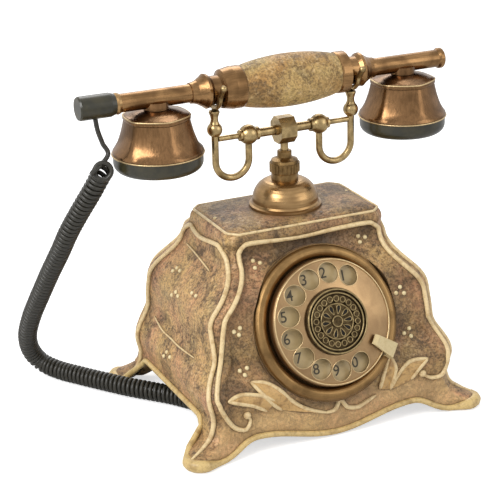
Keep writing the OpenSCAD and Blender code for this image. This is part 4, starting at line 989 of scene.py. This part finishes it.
# %% Raised rings round the finger holes and at the wheel's edge
def dial_wires(name, loops, finish):
    """Closed wires in one mesh that turns with the dial; each is its places and its radius."""
    points, faces = [], []
    for places, radius in loops:
        p, f = closed_wire([dial_point(*place) for place in places], radius, DIAL_OUT, 8)
        faces += [tuple(len(points) + i for i in face) for face in f]
        points += list(p)
    return fix(mesh_piece(name, points, faces, finish, 60), "dial")


# The rings round the holes and the wire on the wheel's edge get the lighter bronze: painted highlight.
rims = [(circle_places(x, y, FINGER_R - 0.02, wheel_face), 0.26) for x, y in finger_spots]
rims.append((circle_places(0, 0, 36.9, lambda r: edge - 0.1, 128), 0.55))
dial_wires("finger_rings", rims, painted_highlight_bronze)
print("wires on the wheel:", len(rims))

# %% The pierced cap
CAP_TOP = WHEEL_FLAT + 2.1
cap_loops = [
    (circle_places(0, 0, 18.75, lambda r: WHEEL_FLAT + 3.1, 96), 0.55),
    (circle_places(0, 0, 16.7, lambda r: WHEEL_FLAT + 2.8, 96), 0.5),
    (circle_places(0, 0, 10.3, lambda r: CAP_TOP, 80), 0.4),
    (circle_places(0, 0, 3.1, lambda r: WHEEL_FLAT + 2.9, 40), 0.4),
]
DROPS, DROP_STEPS, CIRCLES = 10, 28, 20
drop_points = []
for i in range(DROPS):
    a = math.radians(360 / DROPS * i)
    drop = []
    for k in range(DROP_STEPS):
        t = 2 * math.pi * k / DROP_STEPS
        u = 7.0 + 2.7 * math.cos(t)
        v = 1.75 * math.sin(t) * (0.62 + 0.38 * math.cos(t))
        drop.append((u * math.cos(a) - v * math.sin(a), u * math.sin(a) + v * math.cos(a), CAP_TOP))
    cap_loops.append((drop, 0.3))
    drop_points += [dial_point(x, y, z - 0.02) for x, y, z in drop]
for i in range(CIRCLES):
    a = math.radians(360 / CIRCLES * i + 9)
    cx, cy = 13.4 * math.cos(a), 13.4 * math.sin(a)
    cap_loops.append((circle_places(cx, cy, 1.65, lambda r: CAP_TOP - 0.1, 18), 0.33))
dial_wires("cap_filigree", cap_loops, cap_light)
# The drops are filled with a near-black sheet just under their wires: painted shade for the piercings.
drop_faces = [tuple(range(DROP_STEPS * i, DROP_STEPS * (i + 1))) for i in range(DROPS)]
pierced = mesh_piece("cap_piercings", drop_points, drop_faces, piercing_painted_shade)
fix(pierced, "dial")
print("wires on the cap:", len(cap_loops))

# %% Digits on the number plate
PLATE_TOP = 8.85
DIGIT_SHIFT = -1.6     # the digits stand a little left of the holes' middles
for text, (x, y) in zip("1234567890", finger_spots):
    curve = bpy.data.curves.new("digit_" + text, "FONT")
    curve.body = text
    curve.size = 9.0
    curve.offset = 0.08
    curve.extrude = 0.02
    curve.align_x, curve.align_y = "CENTER", "CENTER"
    lettering = bpy.data.objects.new("digit_" + text, curve)
    bpy.context.scene.collection.objects.link(lettering)
    bpy.context.view_layer.update()
    graph = bpy.context.evaluated_depsgraph_get()
    flat = bpy.data.meshes.new_from_object(lettering.evaluated_get(graph))
    places = [dial_point(v.co.x + x + DIGIT_SHIFT, v.co.y + y, v.co.z + PLATE_TOP)
              for v in flat.vertices]
    faces = [tuple(f.vertices) for f in flat.polygons]
    fix(mesh_piece("number_" + text, places, faces, digit_ink), "base")
    bpy.data.objects.remove(lettering)
print("digits set:", len(finger_spots))

# %% [markdown]
# ## Bells of the handset
# Each bell is spun round at its foot and pressed into six faces higher up, so its outline
# blends from a circle into a hexagon with soft corners. A low dome closes it under the tube.

# %% Bells
CUP_X, RIM_Z, BELL_SIDES = 81.0, 171.3, 96
bell_profile = [      # height over the rim, radius, and how round it is there
    (0.0, 26.0, 1.0), (1.2, 26.7, 1.0), (2.4, 26.4, 1.0), (3.4, 25.7, 0.8), (4.6, 24.9, 0.6),
    (7, 23.5, 0.5), (10, 22.3, 0.45), (14, 21.0, 0.45), (18, 20.0, 0.45), (20.4, 19.5, 0.45),
    (20.9, 19.9, 0.45), (22.4, 19.9, 0.5), (23.2, 19.4, 0.6), (23.6, 18.5, 0.8),
    (23.9, 16.4, 1.0), (24.8, 14.6, 1.0), (25.8, 11.0, 1.0), (26.7, 6.0, 1.0),
]
# Both beads get the lighter bronze; the shoulder bead stands for the highlight on the bevel: painted
# highlight.
bell_beads = {"rim": (0.5, 26.75, 1.0), "shoulder": (22.9, 19.7, 0.5)}


def bell_reach(r, a, round_share):
    """The radius at angle a of an outline between a hexagon with soft corners and a circle."""
    sector = (a + math.pi / 6) % (math.pi / 3) - math.pi / 6
    six = min(math.cos(math.pi / 6) / math.cos(sector) * 1.03, 1.0)
    return r * mix(six, 1.0, round_share)


def bell_ring(x, height, r, round_share):
    """Places round a bell; x is the bell's middle."""
    places = []
    for a in (2 * math.pi * k / BELL_SIDES for k in range(BELL_SIDES)):
        reach = bell_reach(r, a, round_share)
        places.append((x + reach * math.cos(a), reach * math.sin(a), RIM_Z + height))
    return places


bell_faces = grid_faces(len(bell_profile), BELL_SIDES) + end_caps(len(bell_profile), BELL_SIDES)
for name, x in (("mouth_bell", -CUP_X), ("ear_bell", CUP_X)):
    points = [p for row in bell_profile for p in bell_ring(x, *row)]
    bell = mesh_piece(name, points, bell_faces, bell_copper, 28)
    fix(bell, "handset")
    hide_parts("mouth_shell" if x < 0 else "ear_shell")
    for part, row in bell_beads.items():
        bead = loop_mesh(f"{name}_{part}", bell_ring(x, *row), 0.45, 8, painted_highlight_bronze)
        fix(bead, "handset")
print("bells made:", 2)

# %% [markdown]
# ## Floor and light
# A pale floor and two large soft lamps give the plain light of a product photograph. The
# camera sees the floor and the world as white, and the floor still takes the soft shadow.

# %% Floor
floor_data = bpy.data.meshes.new("floor")
floor_data.from_pydata([(-4, -4, 0), (4, -4, 0), (4, 4, 0), (-4, 4, 0)], [], [(0, 1, 2, 3)])
floor = bpy.data.objects.new("floor", floor_data)
bpy.context.scene.collection.objects.link(floor)
floor_paper = bpy.data.materials.new("white_paper_sweep")
floor_paper.use_nodes = True
tree = floor_paper.node_tree
tree.nodes.clear()
paper = add(tree, "ShaderNodeBsdfDiffuse", {"Color": linear("#ebebeb")})
lift = add(tree, "ShaderNodeEmission", {
    "Color": linear("#ffffff"),
    "Strength": times(tree, add(tree, "ShaderNodeLightPath").outputs["Is Camera Ray"], 0.6)})
both = add(tree, "ShaderNodeAddShader", {0: paper.outputs[0], 1: lift.outputs[0]})
add(tree, "ShaderNodeOutputMaterial", {"Surface": both.outputs[0]})
floor_data.materials.append(floor_paper)
print("floor laid")

# %% World and lamps
world = bpy.data.worlds.new("studio")
bpy.context.scene.world = world
world.use_nodes = True
tree = world.node_tree
tree.nodes.clear()
ray = add(tree, "ShaderNodeLightPath").outputs
seen = plus(tree, plus(tree, ray["Is Camera Ray"], ray["Is Glossy Ray"]), ray["Is Transmission Ray"])
strength = span(tree, seen, 0.0, 1.0, (0.5, 1.0))
background = add(tree, "ShaderNodeBackground", {
    "Color": linear("#ffffff"), "Strength": strength})
add(tree, "ShaderNodeOutputWorld", {"Surface": background.outputs[0]})

LAMPS_AIM = Vector((0, 0, 0.09))
lamps = [
    ("key", (-1.05, -0.45, 1.05), 0.8, 15), ("fill", (0.9, -1.0, 0.7), 0.9, 3.5),
    ("rim", (0.35, 1.0, 1.1), 0.8, 6)]
for name, place, size, watts in lamps:
    lamp = bpy.data.objects.new(name, bpy.data.lights.new(name, "AREA"))
    lamp.data.size = size
    lamp.data.energy = watts
    lamp.location = place
    lamp.rotation_euler = (LAMPS_AIM - Vector(place)).to_track_quat("-Z", "Y").to_euler()
    bpy.context.scene.collection.objects.link(lamp)

# %% View transform
bpy.context.scene.view_settings.view_transform = "Standard"
bpy.context.view_layer.update()
